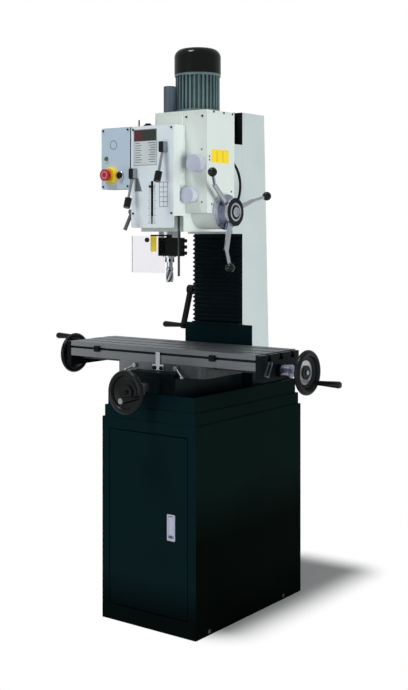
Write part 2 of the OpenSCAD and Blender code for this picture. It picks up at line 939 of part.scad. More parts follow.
/* Door */
module cabinet_door()
    color(black)
        difference() {
            span([door_x0, door_x1], [-cab_y, -cab_y + door_edge], [door_bottom, door_z1]);
            span([door_x0 + sheet_t, door_x1 - sheet_t], [-cab_y + sheet_t, -cab_y + door_edge + cut],
                 [door_bottom + sheet_t, door_z1 - sheet_t]);
            for (z = [door_bottom, door_z1 - sheet_t])
                rod_z([z - cut, z + sheet_t + cut], hinge_x, hinge_y, door_pin_d / 2 + fit);
            span(about(latch_x, latch_w / 2 - latch_lip), [-cab_y - cut, -cab_y + sheet_t + cut],
                 about(latch_z, latch_h / 2 - latch_lip));
        }

module latch_plate()
    color(steel)
        difference() {
            union() {
                front_plate(latch_x, -cab_y, latch_z, latch_w, latch_h, latch_r, latch_wall);
                span(about(latch_x, latch_w / 2 - latch_lip - gap), [-cab_y, -cab_y + latch_deep],
                     about(latch_z, latch_h / 2 - latch_lip - gap));
            }
            span(about(latch_x, paddle_w / 2 + lap),
                 [-cab_y - latch_wall - cut, -cab_y + latch_deep - latch_wall],
                 [latch_z - latch_h / 2 + 8, latch_z + latch_h / 2 - 5]);
            rod_x(about(latch_x, paddle_w / 2 + paddle_pin_l + lap), paddle_y, paddle_z,
                  paddle_pin_r + fit);
        }

module latch_paddle()
    color(steel) {
        span(about(latch_x, paddle_w / 2), [paddle_y - paddle_t, paddle_y],
             [paddle_z - paddle_h, paddle_z]);
        rod_x(about(latch_x, paddle_w / 2 + paddle_pin_l), paddle_y, paddle_z, paddle_pin_r);
    }

/* Saddle and table */
module saddle()
    color(iron)
        difference() {
            translate([0, table_y, z_saddle])
                linear_extrude(saddle_h)
                    round_rect(saddle_l, table_w, saddle_r);
            translate([0, table_y1 + cut, z_way])
                rotate([90, 0, 0])
                    linear_extrude(table_w + 2 * cut)
                        dovetail(base_way_w, dovetail_h, gap);
            translate([-saddle_l / 2 - cut, table_y, z_table])
                rotate([90, 0, 90])
                    linear_extrude(saddle_l + 2 * cut)
                        mirror([0, 1])
                            dovetail(table_way_w, dovetail_h, gap);
            for (x = lock_x)
                rod_y([table_y0 - cut, table_y0 + lock_pin_l + 2], x, lock_lever_z, lock_pin_r + fit);
        }

// ball-ended clamp lever: screw into the saddle, hub and a bent arm towards 'end'
module lock_lever(x, end) {
    hub = [x, table_y0 - lock_knob_l / 2 - 1, lock_lever_z];
    color(steel) {
        rod_y([table_y0 - lock_knob_l, table_y0 - 1], x, lock_lever_z, lock_knob_r);
        rod_y([table_y0 - 2, table_y0 + lock_pin_l], x, lock_lever_z, lock_pin_r);
        ball_bar(hub, hub + end, lock_rod_r, lock_ball_r);
    }
}

module table_lock_lever() lock_lever(lock_x[0], table_lock_arm);

module saddle_lock_lever() lock_lever(lock_x[1], saddle_lock_arm);

module stop_bracket()
    color(steel) {
        y = table_y0;
        difference() {
            union() {
                span(about(0, stop_w / 2), [y - stop_t, y], [stop_z, z_saddle_top - 4]);
                span(about(0, stop_tongue_w / 2), [y - stop_t - 1, y - 1],
                     [z_saddle_top - 12, side_slot_z + 7]);
            }
            for (sx = [-1, 1])
                rod_y([y - stop_t - cut, y + cut], sx * stop_bolt_x, stop_bolt_z, stop_bolt_r + fit);
        }
        for (sx = [-1, 1])
            translate([sx * stop_bolt_x, y - stop_t, stop_bolt_z])
                rotate([90, 0, 0])
                    bolt(stop_bolt_r, stop_t);
    }

module feed_nuts()
    color("#b08d4f") {
        difference() {
            span(about(0, x_nut_l / 2), about(table_y, x_channel_w / 2 - 1),
                 [z_table - dovetail_h - gap, x_channel_top - 2]);
            rod_x(about(0, x_nut_l / 2 + cut), table_y, x_axis_z, screw_r + fit);
        }
        difference() {
            span(about(0, y_nut_w / 2), about(table_y, y_nut_l / 2),
                 [y_axis_z - screw_d - 1, z_way + dovetail_h + gap]);
            rod_y(about(table_y, y_nut_l / 2 + cut), 0, y_axis_z, screw_r + fit);
        }
    }

// T-slots of the table over the length x
module table_slots(x)
    for (i = [-1:1]) {
        y = table_y + i * slot_pitch;
        span(x, about(y, slot_w / 2), [z_table_top - slot_neck_h - cut, z_table_top + cut]);
        span(x, about(y, slot_head_w / 2),
             [z_table_top - slot_neck_h - slot_head_h, z_table_top - slot_neck_h]);
    }

module table()
    color(iron)
        difference() {
            union() {
                span([table_x0, table_x1], [table_y0, table_y1], [z_table, z_table_top]);
                translate([table_x0, table_y, z_table])
                    rotate([90, 0, 90])
                        linear_extrude(table_l)
                            mirror([0, 1])
                                dovetail(table_way_w, dovetail_h);
            }
            table_slots([table_x0 - cut, table_x1 + cut]);
            span([table_x0 - cut, table_x1 + cut], [table_y0 - cut, table_y0 + side_slot_d],
                 about(side_slot_z, side_slot_w / 2));
            span([table_x0 - cut, table_x1 + cut], about(table_y, x_channel_w / 2),
                 [z_table - dovetail_h - cut, x_channel_top]);
        }

module table_brackets()
    color(black)
        for (s = [-1, 1])
            difference() {
                x = s < 0 ? [table_x0 - bracket_t, table_x0] : [table_x1, table_x1 + bracket_t];
                union() {
                    span(x, [table_y0, table_y1 - 10], [bracket_z0, bracket_z1]);
                    rod_x(s < 0 ? x - [boss_l, 0] : x + [0, boss_l], table_y, x_axis_z, boss_r);
                }
                rod_x(x + [-boss_l - cut, boss_l + cut], table_y, x_axis_z, screw_r + fit);
                table_slots(x + [-cut, cut]);
            }

// stop dogs in the front slot, and the bent lever on the right bracket
module table_fittings()
    color(steel) {
        for (x = dog_x) {
            span(about(x, dog_w / 2), [table_y0 - dog_t, table_y0], about(side_slot_z, dog_h / 2));
            span(about(x, dog_w * 0.4), [table_y0, table_y0 + side_slot_d - lap],
                 about(side_slot_z, side_slot_w * 0.45));
        }
        translate([table_x1 + bracket_t, table_y0, bracket_z0])
            rotate([90, 0, 90])
                linear_extrude(2 * hook_r)
                    for (i = [0:2])
                        strip(hook_points[i], hook_points[i + 1], hook_r);
    }

// flat strip with round ends between two points of a plane
module strip(a, b, r) {
    v = b - a;
    translate(a)
        rotate(atan2(v[1], v[0])) {
            translate([0, -r])
                square([norm(v), 2 * r]);
            circle(r);
        }
    translate(b)
        circle(r);
}

/* Handwheels and screws */
module x_leadscrew()
    color(steel) {
        rod_x([x_left - shaft_out, x_right + shaft_out], table_y, x_axis_z, screw_r);
        for (x = [table_x0 - bracket_t - boss_l - 1 - dial_l, table_x1 + bracket_t + boss_l + 1])
            rod_x([x, x + dial_l], table_y, x_axis_z, dial_d / 2);
    }

// place for a handwheel on the table screw, facing away from the table
module at_x_wheel(s, angle)
    translate([s > 0 ? x_right : x_left, table_y, x_axis_z])
        rotate([0, 90 * s, 0])
            rotate(s > 0 ? angle + 90 : 90 - angle)
                children();

module x_handwheels()
    color(black) {
        at_x_wheel(1, grip_angle_right) handwheel(screw_r + fit);
        at_x_wheel(-1, grip_angle_left) handwheel(screw_r + fit);
    }

module x_grip_left()
    color(black)
        at_x_wheel(-1, grip_angle_left)
            translate([grip_r, 0, grip_lift])
                grip();

module x_grip_right()
    color(black)
        at_x_wheel(1, grip_angle_right)
            translate([grip_r, 0, grip_lift])
                grip();

module y_leadscrew()
    color(steel) {
        rod_y([y_wheel_y - shaft_out, y_channel_end + screw_d], 0, y_axis_z, screw_r);
        rod_y([base_nose - 1 - dial_l, base_nose - 1], 0, y_axis_z, dial_d / 2);
    }

module at_y_wheel()
    translate([0, y_wheel_y, y_axis_z])
        rotate([90, 0, 0])
            rotate(grip_angle_y)
                children();

module y_handwheel()
    color(black)
        at_y_wheel() handwheel(screw_r + fit);

module y_grip()
    color(black)
        at_y_wheel()
            translate([grip_r, 0, grip_lift])
                grip();

// crank: shaft with its bevel gear in the column, hub, arm and the pin of its grip
module z_crank() {
    hub = [crank_x, lift_y, z_crank];
    tip = hub + crank_l * crank_dir;
    color(black) {
        rod_x([crank_x - crank_arm_t, -bevel_near - gap], lift_y, z_crank, lift_journal_r);
        translate([-bevel_far, lift_y, z_crank])
            rotate([0, 90, 0])
                cylinder(h = bevel_far - bevel_near - 1, r1 = bevel_far - 1, r2 = bevel_near);
        rod_x([crank_x - crank_arm_t, crank_x + crank_hub_l], lift_y, z_crank, crank_hub_r);
        translate(hub - [crank_arm_t, 0, 0])
            rotate([crank_tilt, 0, 0])
                translate([0, 0, -crank_arm_w / 2])
                    cube([crank_arm_t, crank_l, crank_arm_w]);
        rod_x([crank_x - crank_arm_t, crank_x], tip[1], tip[2], crank_eye_r);
        rod_x([crank_x - crank_arm_t - grip_l + grip_end + 2, crank_x], tip[1], tip[2], grip_pin_d / 2);
    }
}

module z_grip() {
    tip = [crank_x - crank_arm_t - gap, lift_y, z_crank] + crank_l * crank_dir;
    color(black)
        translate(tip)
            rotate([0, -90, 0])
                grip();
}

module z_leadscrew()
    color(steel) {
        rod_z([z_way + 2, thread_z], 0, lift_y, lift_journal_r);
        rod_z([thread_z, z_column_top - column_wall - 2], 0, lift_y, lift_r);
        rod_z([z_way + foot_t + gap, z_way + foot_t + 6], 0, lift_y, lift_r + 4);
        translate([0, lift_y, z_crank - bevel_far])
            cylinder(h = bevel_far - bevel_near - 1, r1 = bevel_far - 1, r2 = bevel_near);
    }

/* Head */
module spindle_bore(z, r) rod_z(z, 0, spindle_y, r);

module feed_bore(x, r) rod_x(x, feed_y, z_feed, r);

module head_casting()
    color(white)
        difference() {
            union() {
                difference() {
                    span([-slide_x, slide_x], [slide_front, slide_back], [z_slide, z_slide + slide_h]);
                    translate([0, shoulder_y, z_slide - cut])
                        linear_extrude(slide_h + 2 * cut)
                            mirror([0, 1])
                                dovetail(column_way_w, shoulder_y - column_front, gap);
                }
                span([-head_x, head_x], [head_front, slide_front + cut], [z_head, z_head_top]);
                intersection() {
                    feed_bore([head_x - cut, hub_x0 - gap], feed_boss_d / 2);
                    union() {
                        span([head_x - cut, hub_x0], [gearbox_front, slide_front], [z_head, z_gearbox]);
                        span([gearbox_right, hub_x0], [gearbox_front, slide_front], [z_head, z_head_top]);
                    }
                }
                // lift nut on its arm through the column slot
                span(about(0, nut_w / 2), [slide_front + nut_w / 2, lift_y + nut_w / 2],
                     [nut_z, nut_z + nut_h]);
            }
            spindle_bore([z_head - cut, pocket_z + cut], quill_r + fit);
            span(about(0, head_x - shell_t), [head_front + shell_t / 2, gearbox_back - shell_t],
                 [pocket_z, z_head_top + cut]);
            span(about(0, head_x - core_wall), [gearbox_back, slide_front - core_wall],
                 [z_head - cut, z_head_top - core_wall]);
            feed_bore([-feed_in, hub_x0], feed_shaft_d / 2 + fit);
            feed_bore(about(0, pinion_l / 2 + 1), pinion_r + 1);
            span(about(0, point_slot_w / 2), [head_front - cut, spindle_y], [point_z0, point_z1]);
            rod_z([nut_z - cut, nut_z + nut_h + cut], 0, lift_y, lift_r + fit);
            rod_z([pocket_z - cluster_in, pocket_z + cut], cluster_pos[0], cluster_pos[1],
                  cluster_shaft_r + fit);
        }

module gearbox_housing()
    color(white)
        difference() {
            union() {
                span([gearbox_left, gearbox_right], [gearbox_front, gearbox_back], [z_head_top, z_lid]);
                span([head_x, gearbox_right], [gearbox_front, gearbox_back], [z_gearbox, z_lid]);
                span(bulge_x, [gearbox_front - 10, gearbox_front + cut], [z_head_top + gap, z_lid - 4]);
            }
            span([gearbox_left + shell_t, gearbox_right - shell_t],
                 [gearbox_front + shell_t, gearbox_back - shell_t], [z_head_top - cut, z_lid + cut]);
            span([head_x + shell_t, gearbox_right - shell_t],
                 [gearbox_front + shell_t, gearbox_back - shell_t], [z_gearbox + shell_t, z_lid]);
            feed_bore([head_x - cut, gearbox_right + cut], feed_shaft_d / 2 + fit);
            for (p = [dial_upper, dial_lower])
                rod_y([gearbox_front - cut, gearbox_front + shell_t + cut], p[0], p[1], dial_stem_r + fit);
            gearbox_screw_places() screw_hole(screw_shank_l);
        }

// screws on the front of the gearbox, and along the right edge of its lid
module gearbox_screw_places()
    for (x = [head_x + 5, gearbox_right - 18])
        translate([x, gearbox_front, z_lid - 11])
            rotate([90, 0, 0])
                children();

module lid_screw_places()
    for (t = [0.24, 0.6, 0.92])
        translate([gearbox_right, gearbox_front + t * (gearbox_back - gearbox_front), z_lid + lid_t / 2])
            rotate([0, 90, 0])
                children();

module gearbox_lid()
    color(white)
        difference() {
            span([gearbox_left, gearbox_right], [gearbox_front, gearbox_back], [z_lid, z_motor]);
            rod_z([z_lid - cut, z_motor + cut], 0, spindle_y, sleeve_r + fit);
            rod_z([z_lid - cut, z_motor + cut], motor_x, motor_y, pinion_n * module_mm / 2 + 1);
            rod_z([z_lid - cut, z_lid + lid_t / 2], cluster_pos[0], cluster_pos[1], cluster_shaft_r + fit);
            lid_screw_places() screw_hole(screw_shank_l);
        }

module front_cover()
    color(white)
        difference() {
            span([-head_x, head_x], [cover_front, head_front], [z_cover, z_head_top]);
            span([-head_x + shell_t, head_x - shell_t], [cover_front + shell_t, head_front + cut],
                 [z_cover + shell_t, z_head_top - shell_t]);
            span(about(0, point_slot_w / 2), [cover_front - cut, head_front], [z_cover - cut, point_z1]);
            for (p = [lever_left, lever_right])
                rod_y([cover_front - cut, cover_front + shell_t + cut], p[0], p[1], lever_stem_r + fit);
            rod_x([-head_x - cut, -head_x + shell_t + cut], lock_y, lock_z, lock_stem_r + fit);
            rod_z([z_cover - cut, z_cover + shell_t + cut], guard_x, guard_y, guard_post_d / 2 + fit);
            panel_screw_places() screw_hole(screw_shank_l);
        }

// corner screws of the front panel, and of the control panel
module panel_screw_places() {
    z1 = z_panel + panel_h - panel_screw_in;
    z0 = z_cover + panel_screw_in;
    for (sx = [-1, 1], z = [z0, z1])
        translate([sx * (head_x - panel_screw_in), panel_front, z])
            rotate([90, 0, 0])
                children();
}

module control_screw_places()
    for (x = [control_in, control_panel_w - control_in], z = [control_in, control_h - control_in])
        translate([control_x0 + x, panel_front, control_z0 + z])
            rotate([90, 0, 0])
                children();

module front_panels()
    color("#dfe5ea")
        difference() {
            union() {
                front_plate(0, cover_front, z_panel + panel_h / 2, head_w, panel_h, panel_r, panel_t);
                front_plate(control_x0 + control_panel_w / 2, cover_front, (control_z0 + control_z1) / 2,
                            control_panel_w, control_h, control_r, panel_t);
            }
            span(about(0, point_slot_w / 2), [panel_front - cut, cover_front + cut], [point_z0, point_z1]);
            for (p = [lever_left, lever_right])
                rod_y([panel_front - cut, cover_front + cut], p[0], p[1], lever_stem_r + fit);
            rod_y([panel_front - cut, cover_front + cut], estop[0], estop[1], estop_stem_r + fit);
            for (p = [start, lamp])
                rod_y([panel_front - cut, cover_front + cut], p[0], p[1], button_stem_r + fit);
            panel_screw_places() screw_hole(panel_t + cut);
            control_screw_places() screw_hole(panel_t + cut);
        }

module control_box()
    color("#cfd5d8")
        difference() {
            span([control_x0, control_x1], [cover_front, cover_front + control_d],
                 [control_z0, control_z1]);
            span([control_x0 + sheet_t, control_x1 - sheet_t],
                 [cover_front - cut, cover_front + control_d - sheet_t],
                 [control_z0 + sheet_t, control_z1 - sheet_t]);
        }

module indicator_lamp()
    color("#2f9d55") {
        rod_y([panel_front - lamp_out, panel_front], lamp[0], lamp[1], lamp_r);
        rod_y([panel_front, cover_front + stem_l], lamp[0], lamp[1], button_stem_r);
    }

module cover_screws()
    color(steel) {
        panel_screw_places() screw();
        control_screw_places() screw();
        gearbox_screw_places() screw();
        lid_screw_places() screw();
        rod_z([z_head_top, z_head_top + peg_h], cover_peg[0], cover_peg[1], peg_r);
        rod_z([z_head_top, z_head_top + plug_h], cover_plug[0], cover_plug[1], plug_r);
        rod_z([z_head_top, z_head_top + 2 * plug_h], cover_plug[0], cover_plug[1], plug_r * 0.65);
    }

module motor_body()
    color("#2b3334")
        difference() {
            union() {
                translate([motor_x, motor_y, z_motor]) {
                    cylinder(h = motor_foot_h, r = motor_d / 2);
                    cylinder(h = motor_h, r = motor_core_d / 2);
                    translate([0, 0, motor_h - motor_ring_h])
                        cylinder(h = motor_ring_h, r = fan_d / 2 - 1);
                    for (i = [0:fin_n - 1])
                        rotate((i + 0.5) * 360 / fin_n)
                            translate([motor_core_d / 2 - fin_in, -fin_t / 2, motor_foot_h])
                                cube([(motor_d - motor_core_d) / 2 + fin_in - lap, fin_t,
                                      motor_h - motor_foot_h]);
                }
            }
            rod_z([z_motor - cut, z_fan + cut], motor_x, motor_y, motor_shaft_r + fit);
            rod_z([z_motor + stator_end, z_fan - stator_end], motor_x, motor_y, stator_r);
        }

module cap_profile(r, h, c)
    intersection() {
        union() {
            square([r, h - c]);
            square([r - c, h]);
            translate([r - c, h - c])
                circle(c);
        }
        square([r, h]);
    }

module fan_cover()
    color(black)
        translate([motor_x, motor_y, z_fan])
            difference() {
                rotate_extrude()
                    cap_profile(fan_d / 2, fan_h, fan_r);
                translate([0, 0, -cut])
                    rotate_extrude()
                        cap_profile(fan_d / 2 - fan_wall, fan_h - fan_wall + cut, fan_r - fan_wall);
                for (i = [0:11])
                    rotate(i * 30)
                        translate([vent_in, -vent_w / 2, fan_h - fan_wall - cut])
                            cube([fan_d / 2 - fan_r - vent_in - 2, vent_w, fan_wall + 2 * cut]);
            }

module drawbar_cap()
    color(black)
        translate([0, spindle_y, z_motor])
            difference() {
                rotate_extrude()
                    cap_profile(cap_d / 2, cap_h, cap_edge);
                translate([0, 0, -cut])
                    cylinder(h = cap_h - cap_wall + cut, r = sleeve_r + 1);
            }

// cable from the gearbox back to itself, one arc between its glands
module head_cable()
    color(black) {
        translate([cable_x, cable_tip_y - cable_bend_r, (cable_top + cable_bottom) / 2])
            rotate([90, 0, 90])
                rotate(-cable_half)
                    rotate_extrude(angle = 2 * cable_half)
                        translate([cable_bend_r, 0])
                            circle(cable_r);
        for (z = [cable_top, cable_bottom])
            rod_y([gearbox_back, gearbox_back + gland_l], cable_x, z, gland_r);
    }

module guard_post()
    color(steel) {
        rod_z([z_cover - guard_post_l, z_cover + shell_t], guard_x, guard_y, guard_post_d / 2);
        rod_z([z_cover - guard_post_d / 2, z_cover], guard_x, guard_y, guard_post_d);
    }

/* Drive and spindle */
module motor_rotor()
    color(steel)
        translate([motor_x, motor_y, 0]) {
            rod_z([high_gear_z, z_fan + fan_h - 20], 0, 0, motor_shaft_r);
            rod_z([z_motor + stator_end + 4, z_fan - stator_end - 4], 0, 0, stator_r - 4);
            rod_z([z_fan + 14, z_fan + 18], 0, 0, blade_r);
            for (i = [0:7])
                rotate(i * 45)
                    span([motor_shaft_r + lap, blade_r], about(0, blade_t / 2), [z_fan + 17, z_fan + 40]);
            translate([0, 0, high_gear_z])
                spur(pinion_n, gear_t);
        }

module cluster_gear()
    color(iron)
        translate([cluster_pos[0], cluster_pos[1], 0]) {
            rod_z([pocket_z - cluster_in + 2, z_lid + lid_t / 2 - 1], 0, 0, cluster_shaft_r);
            translate([0, 0, low_gear_z])
                spur(small_n, gear_t);
            translate([0, 0, high_gear_z])
                spur(wheel_n, gear_t);
        }

module spindle_sleeve()
    color(iron)
        translate([0, spindle_y, 0])
            difference() {
                union() {
                    rod_z([pocket_z + gap, z_motor + sleeve_out], 0, 0, sleeve_r);
                    translate([0, 0, low_gear_z])
                        spur(sleeve_n, gear_t);
                }
                rod_z([pocket_z - cut, z_motor + sleeve_out + cut], 0, 0, spline_d / 2 + fit);
            }

module spindle()
    color(steel)
        translate([0, spindle_y, 0]) {
            rod_z([z_quill - nose_h, z_quill - gap], 0, 0, nose_d / 2);
            rod_z([z_collet, z_quill - nose_h], 0, 0, collet_d / 2);
            rod_z([z_quill - gap - cut, z_quill + quill_l + nose_h], 0, 0, spindle_d / 2);
            rod_z([z_quill + quill_l + nose_h - cut, z_motor + cap_h - 14], 0, 0, spline_d / 2);
        }

// end mill: four straight flutes on a shank
module end_mill()
    color("#9ea4a8")
        translate([0, spindle_y, z_collet - cutter_l])
            difference() {
                cylinder(h = cutter_l, r = cutter_d / 2);
                for (i = [0:3])
                    rotate(i * 90)
                        translate([cutter_d * 0.36, cutter_d * 0.1, -cut])
                            cylinder(h = cutter_l * 0.66, r = cutter_d * 0.17);
            }

module quill()
    color(steel)
        difference() {
            spindle_bore([z_quill, z_quill + quill_l], quill_r);
            spindle_bore([z_quill - cut, z_quill + quill_l + cut], spindle_d / 2 + fit);
            translate([0, spindle_y - quill_r, 0])
                rod_y([-cut, pointer_in], 0, pointer_z, pointer_r + fit);
            for (i = [0:rack_n - 1])
                span(about(0, rack_w / 2), [spindle_y + quill_r - rack_d, spindle_y + quill_r + cut],
                     about(z_feed - 20 + i * rack_pitch, rack_pitch / 4));
        }

// depth pointer: arm from the quill through the slot in the front panel
module depth_pointer()
    color(black) {
        rod_y([panel_front - pointer_out + cut, spindle_y - quill_r + pointer_in], 0, pointer_z, pointer_r);
        span(about(0, pointer_w / 2), [panel_front - pointer_out, panel_front - pointer_out + 2],
             about(pointer_z, pointer_h / 2));
    }

module feed_hub()
    color(steel)
        difference() {
            union() {
                feed_bore([-feed_in + 2, hub_x1 - 4], feed_shaft_d / 2);
                feed_bore([-pinion_l / 2, pinion_l / 2], pinion_r);
                feed_bore([hub_x0, hub_x0 + hub_flange], hub_ring_r);
                feed_bore([hub_x0 + hub_flange, hub_x1 - hub_rim], feed_hub_d / 2 - 8);
                feed_bore([hub_x1 - hub_rim, hub_x1], feed_hub_d / 2);
            }
            for (n = [0:2])
                at_feed(n) feed_root(fit);
        }

// place of the nth feed handle, its local x pointing out along the handle
module at_feed(n)
    translate([hub_rod_x, feed_y, z_feed])
        rotate([feed_turn + n * 120, 0, 0])
            rotate([0, 0, 90])
                children();

// tapered rods out of the hub, each with a neck bent to its ball
module feed_spokes()
    color(steel)
        for (n = [0:2])
            at_feed(n) {
                feed_root(0);
                feed_arm(0);
            }

// tapered rod of a feed handle, and its bent neck, grown by a clearance
module feed_root(grow)
    translate([feed_root_r, 0, 0])
        rotate([0, 90, 0])
            cylinder(h = feed_bend_r - feed_root_r, r1 = feed_rod_d / 2 + grow, r2 = feed_tip_d / 2 + grow);

module feed_arm(grow) bar(feed_bend, feed_end, feed_neck_d / 2 + grow);

module feed_balls()
    color(black)
        for (n = [0:2])
            at_feed(n)
                difference() {
                    translate(feed_ball)
                        sphere(ball_d / 2);
                    feed_arm(fit);
                }

/* Levers, dials and buttons */
module gear_lever(at) {
    front = panel_front - gap;
    hub = [at[0], front - lever_hub[2] * 0.6, at[1] - 10];
    knob = [at[0], front, at[1]] + lever_knob;
    color(black) {
        front_plate(at[0], front, at[1], lever_hub[0], lever_hub[1], 4, lever_hub[2]);
        rod_y([front, cover_front + shell_t + stem_in], at[0], at[1], lever_stem_r);
        bar(hub, knob, lever_rod_r);
        bar(knob - lever_knob_half, knob + lever_knob_half, lever_knob_r);
    }
}

module gear_lever_left() gear_lever(lever_left);

module gear_lever_right() gear_lever(lever_right);

module speed_dial(at, r)
    color(dial_blue) {
        rod_y([gearbox_front - dial_flange_t, gearbox_front - gap], at[0], at[1], r + dial_flange);
        rod_y([gearbox_front - dial_out, gearbox_front - dial_flange_t], at[0], at[1], r);
        rod_y([gearbox_front - gap, gearbox_front + shell_t + stem_in], at[0], at[1], dial_stem_r);
    }

module speed_dial_upper() speed_dial(dial_upper, dial_upper_r);

module speed_dial_lower() speed_dial(dial_lower, dial_lower_r);

module quill_lock_lever() {
    hub = [-head_x - lock_hub_l / 2, lock_y, lock_z];
    color(steel) {
        rod_x([-head_x - lock_hub_l, -head_x - gap], lock_y, lock_z, lock_hub_r);
        rod_x([-head_x - gap, -head_x + shell_t + stem_in], lock_y, lock_z, lock_stem_r);
        bar(hub, hub + lock_arm, lock_arm_r);
    }
}

module estop_button()
    color("#c8202a") {
        rod_y([panel_front - estop_out, panel_front - estop_out + 12], estop[0], estop[1], estop_r);
        rod_y([panel_front - estop_out + 12, cover_front + stem_l], estop[0], estop[1], estop_stem_r);
    }

module start_button()
    color(black) {
        rod_y([panel_front - button_out, panel_front - button_out + 4], start[0], start[1], button_r);
        rod_y([panel_front - button_out + 4, cover_front + stem_l], start[0], start[1], button_stem_r);
    }

/* Guard */
// clip block behind the post, plate and clamp bar for the shield, and three clamp knobs
module guard_bracket() {
    z = about(guard_z1 - guard_bar_h - guard_block_h / 2, guard_block_h / 2);
    plate = [guard_face, guard_face + guard_plate_t];
    right = guard_x + guard_block_w / 2;
    color(black)
        difference() {
            union() {
                span(about(guard_x, guard_block_w / 2), [guard_face, guard_y + guard_block_w / 2], z);
                span([guard_x - bracket_plate_w - 8, guard_x - guard_block_w / 2 + cut], plate, z);
                span(guard_bar_x, [guard_face - guard_t, plate[1]], [guard_z1, guard_z1 + guard_bar_h]);
                span([guard_bar_x[1] - 20, guard_bar_x[1]], plate, [z[1] - cut, guard_z1 + cut]);
                for (t = [1, 3, 5])
                    rod_x([right - cut, right + guard_knob_l], guard_y + guard_block_w / 4,
                          z[0] + guard_block_h * t / 6, guard_knob_r);
            }
            rod_z(z + [-cut, cut], guard_x, guard_y, guard_post_d / 2 + fit);
        }
}

module guard_shield()
    color([0.75, 0.75, 0.9, 0.4])
        span([guard_x - guard_reach, guard_x - bracket_plate_w + 20], [guard_face - guard_t, guard_face],
             [guard_z0, guard_z1]);

cabinet();
machine_bolts();
chip_tray();
base_casting();
column();
way_plate();
column_bellows();
cabinet_door();
latch_plate();
latch_paddle();
saddle();
stop_bracket();
feed_nuts();
table_lock_lever();
saddle_lock_lever();
table();
table_brackets();
table_fittings();
x_leadscrew();
x_handwheels();
x_grip_left();
x_grip_right();
y_leadscrew();
y_handwheel();
y_grip();
z_crank();
z_grip();
z_leadscrew();
head_casting();
gearbox_housing();
gearbox_lid();
front_cover();
front_panels();
control_box();
indicator_lamp();
cover_screws();
motor_body();
fan_cover();
drawbar_cap();
head_cable();
guard_post();
motor_rotor();
cluster_gear();
spindle_sleeve();
spindle();
end_mill();
quill();
depth_pointer();
feed_hub();
feed_spokes();
feed_balls();
gear_lever_left();
gear_lever_right();
speed_dial_upper();
speed_dial_lower();
quill_lock_lever();
estop_button();
start_button();
guard_bracket();
guard_shield();
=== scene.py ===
"""Looks of a gear-head drill milling machine on a cabinet stand."""

import logging
import math
from dataclasses import dataclass, replace
from enum import Enum
from typing import Callable

import bmesh
import bpy
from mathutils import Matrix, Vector


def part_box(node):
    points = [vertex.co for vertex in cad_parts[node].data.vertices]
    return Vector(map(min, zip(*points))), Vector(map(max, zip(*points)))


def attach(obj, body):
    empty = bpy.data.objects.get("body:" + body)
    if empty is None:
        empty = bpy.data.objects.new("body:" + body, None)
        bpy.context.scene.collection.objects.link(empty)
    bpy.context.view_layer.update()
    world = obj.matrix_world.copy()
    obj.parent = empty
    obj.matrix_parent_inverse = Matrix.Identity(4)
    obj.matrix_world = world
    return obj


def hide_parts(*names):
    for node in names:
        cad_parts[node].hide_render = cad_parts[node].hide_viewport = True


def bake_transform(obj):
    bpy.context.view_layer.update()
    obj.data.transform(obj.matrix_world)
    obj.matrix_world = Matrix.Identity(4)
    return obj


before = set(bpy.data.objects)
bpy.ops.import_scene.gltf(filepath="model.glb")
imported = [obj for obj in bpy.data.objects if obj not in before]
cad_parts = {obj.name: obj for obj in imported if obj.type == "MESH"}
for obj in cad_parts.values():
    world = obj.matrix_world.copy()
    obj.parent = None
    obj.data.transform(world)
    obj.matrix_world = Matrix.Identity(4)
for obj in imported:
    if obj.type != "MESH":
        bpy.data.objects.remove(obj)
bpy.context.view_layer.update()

Pair = tuple[float, float]
Point = tuple[float, float, float]
Section = tuple[Pair, ...]
Places = list[tuple[float, Pair]]
Chooser = Callable[[Vector, Vector], bool]

LOG = logging.getLogger("drill_mill")
MM = 0.001
FULL_TURN = 2 * math.pi
# share of a normal above which a face looks squarely along an axis
SQUARE = 0.9
WHITE = (1, 1, 1, 1)

# detail of the fine and of the broad noise in every finish
GRAIN_DETAIL = 3.0
PATCH_DETAIL = 2.0
# span of grain times patch over which colour turns to shade
BLEND_SPAN = (0.12, 0.42)
# span of the grain over which the roughness runs
GRAIN_SPAN = (0.3, 0.7)
# share of the blend that a fade takes, the rest being noise
FADE_SHARE = 0.8
BUMP_STRENGTH = 0.6
EDGE_SAMPLES = 4
SOLID_IOR = 1.5
# lower than polycarbonate's own, because the sheet hardly bends what is seen through it
SHEET_IOR = 1.2

# facets round a turned piece, and round a large one
SIDES = 48
FINE_SIDES = 64
# how far a mark lies in its round face and stands out of it
MARK_SUNK = 0.2
MARK_PROUD = 0.15
# every fifth line of a scale is a long one
LONG_EVERY = 5


def srgb(code: str) -> tuple[float, float, float, float]:
    """Turns an sRGB hex colour to linear RGBA.

    Args:
        code: Colour such as "#c8202a".

    Returns:
        Linear red, green, blue and an alpha of 1.
    """
    parts = [int(code[i:i + 2], 16) / 255 for i in (1, 3, 5)]
    return (*[c / 12.92 if c <= 0.04045 else ((c + 0.055) / 1.055) ** 2.4 for c in parts], 1.0)


def add_node(tree: bpy.types.NodeTree, kind: str, links: dict | None = None,
             **settings) -> bpy.types.NodeOutputs:
    """Adds one shader node.

    Args:
        tree: Node tree of the material or world.
        kind: Blender's node type, without its leading ShaderNode.
        links: Input name or index, to an output socket or a constant.
        settings: Attributes of the node.

    Returns:
        The outputs of the new node.
    """
    node = tree.nodes.new("ShaderNode" + kind)
    for key, value in settings.items():
        setattr(node, key, value)
    for key, value in (links or {}).items():
        if isinstance(value, bpy.types.NodeSocket):
            tree.links.new(value, node.inputs[key])
        else:
            node.inputs[key].default_value = value
    return node.outputs


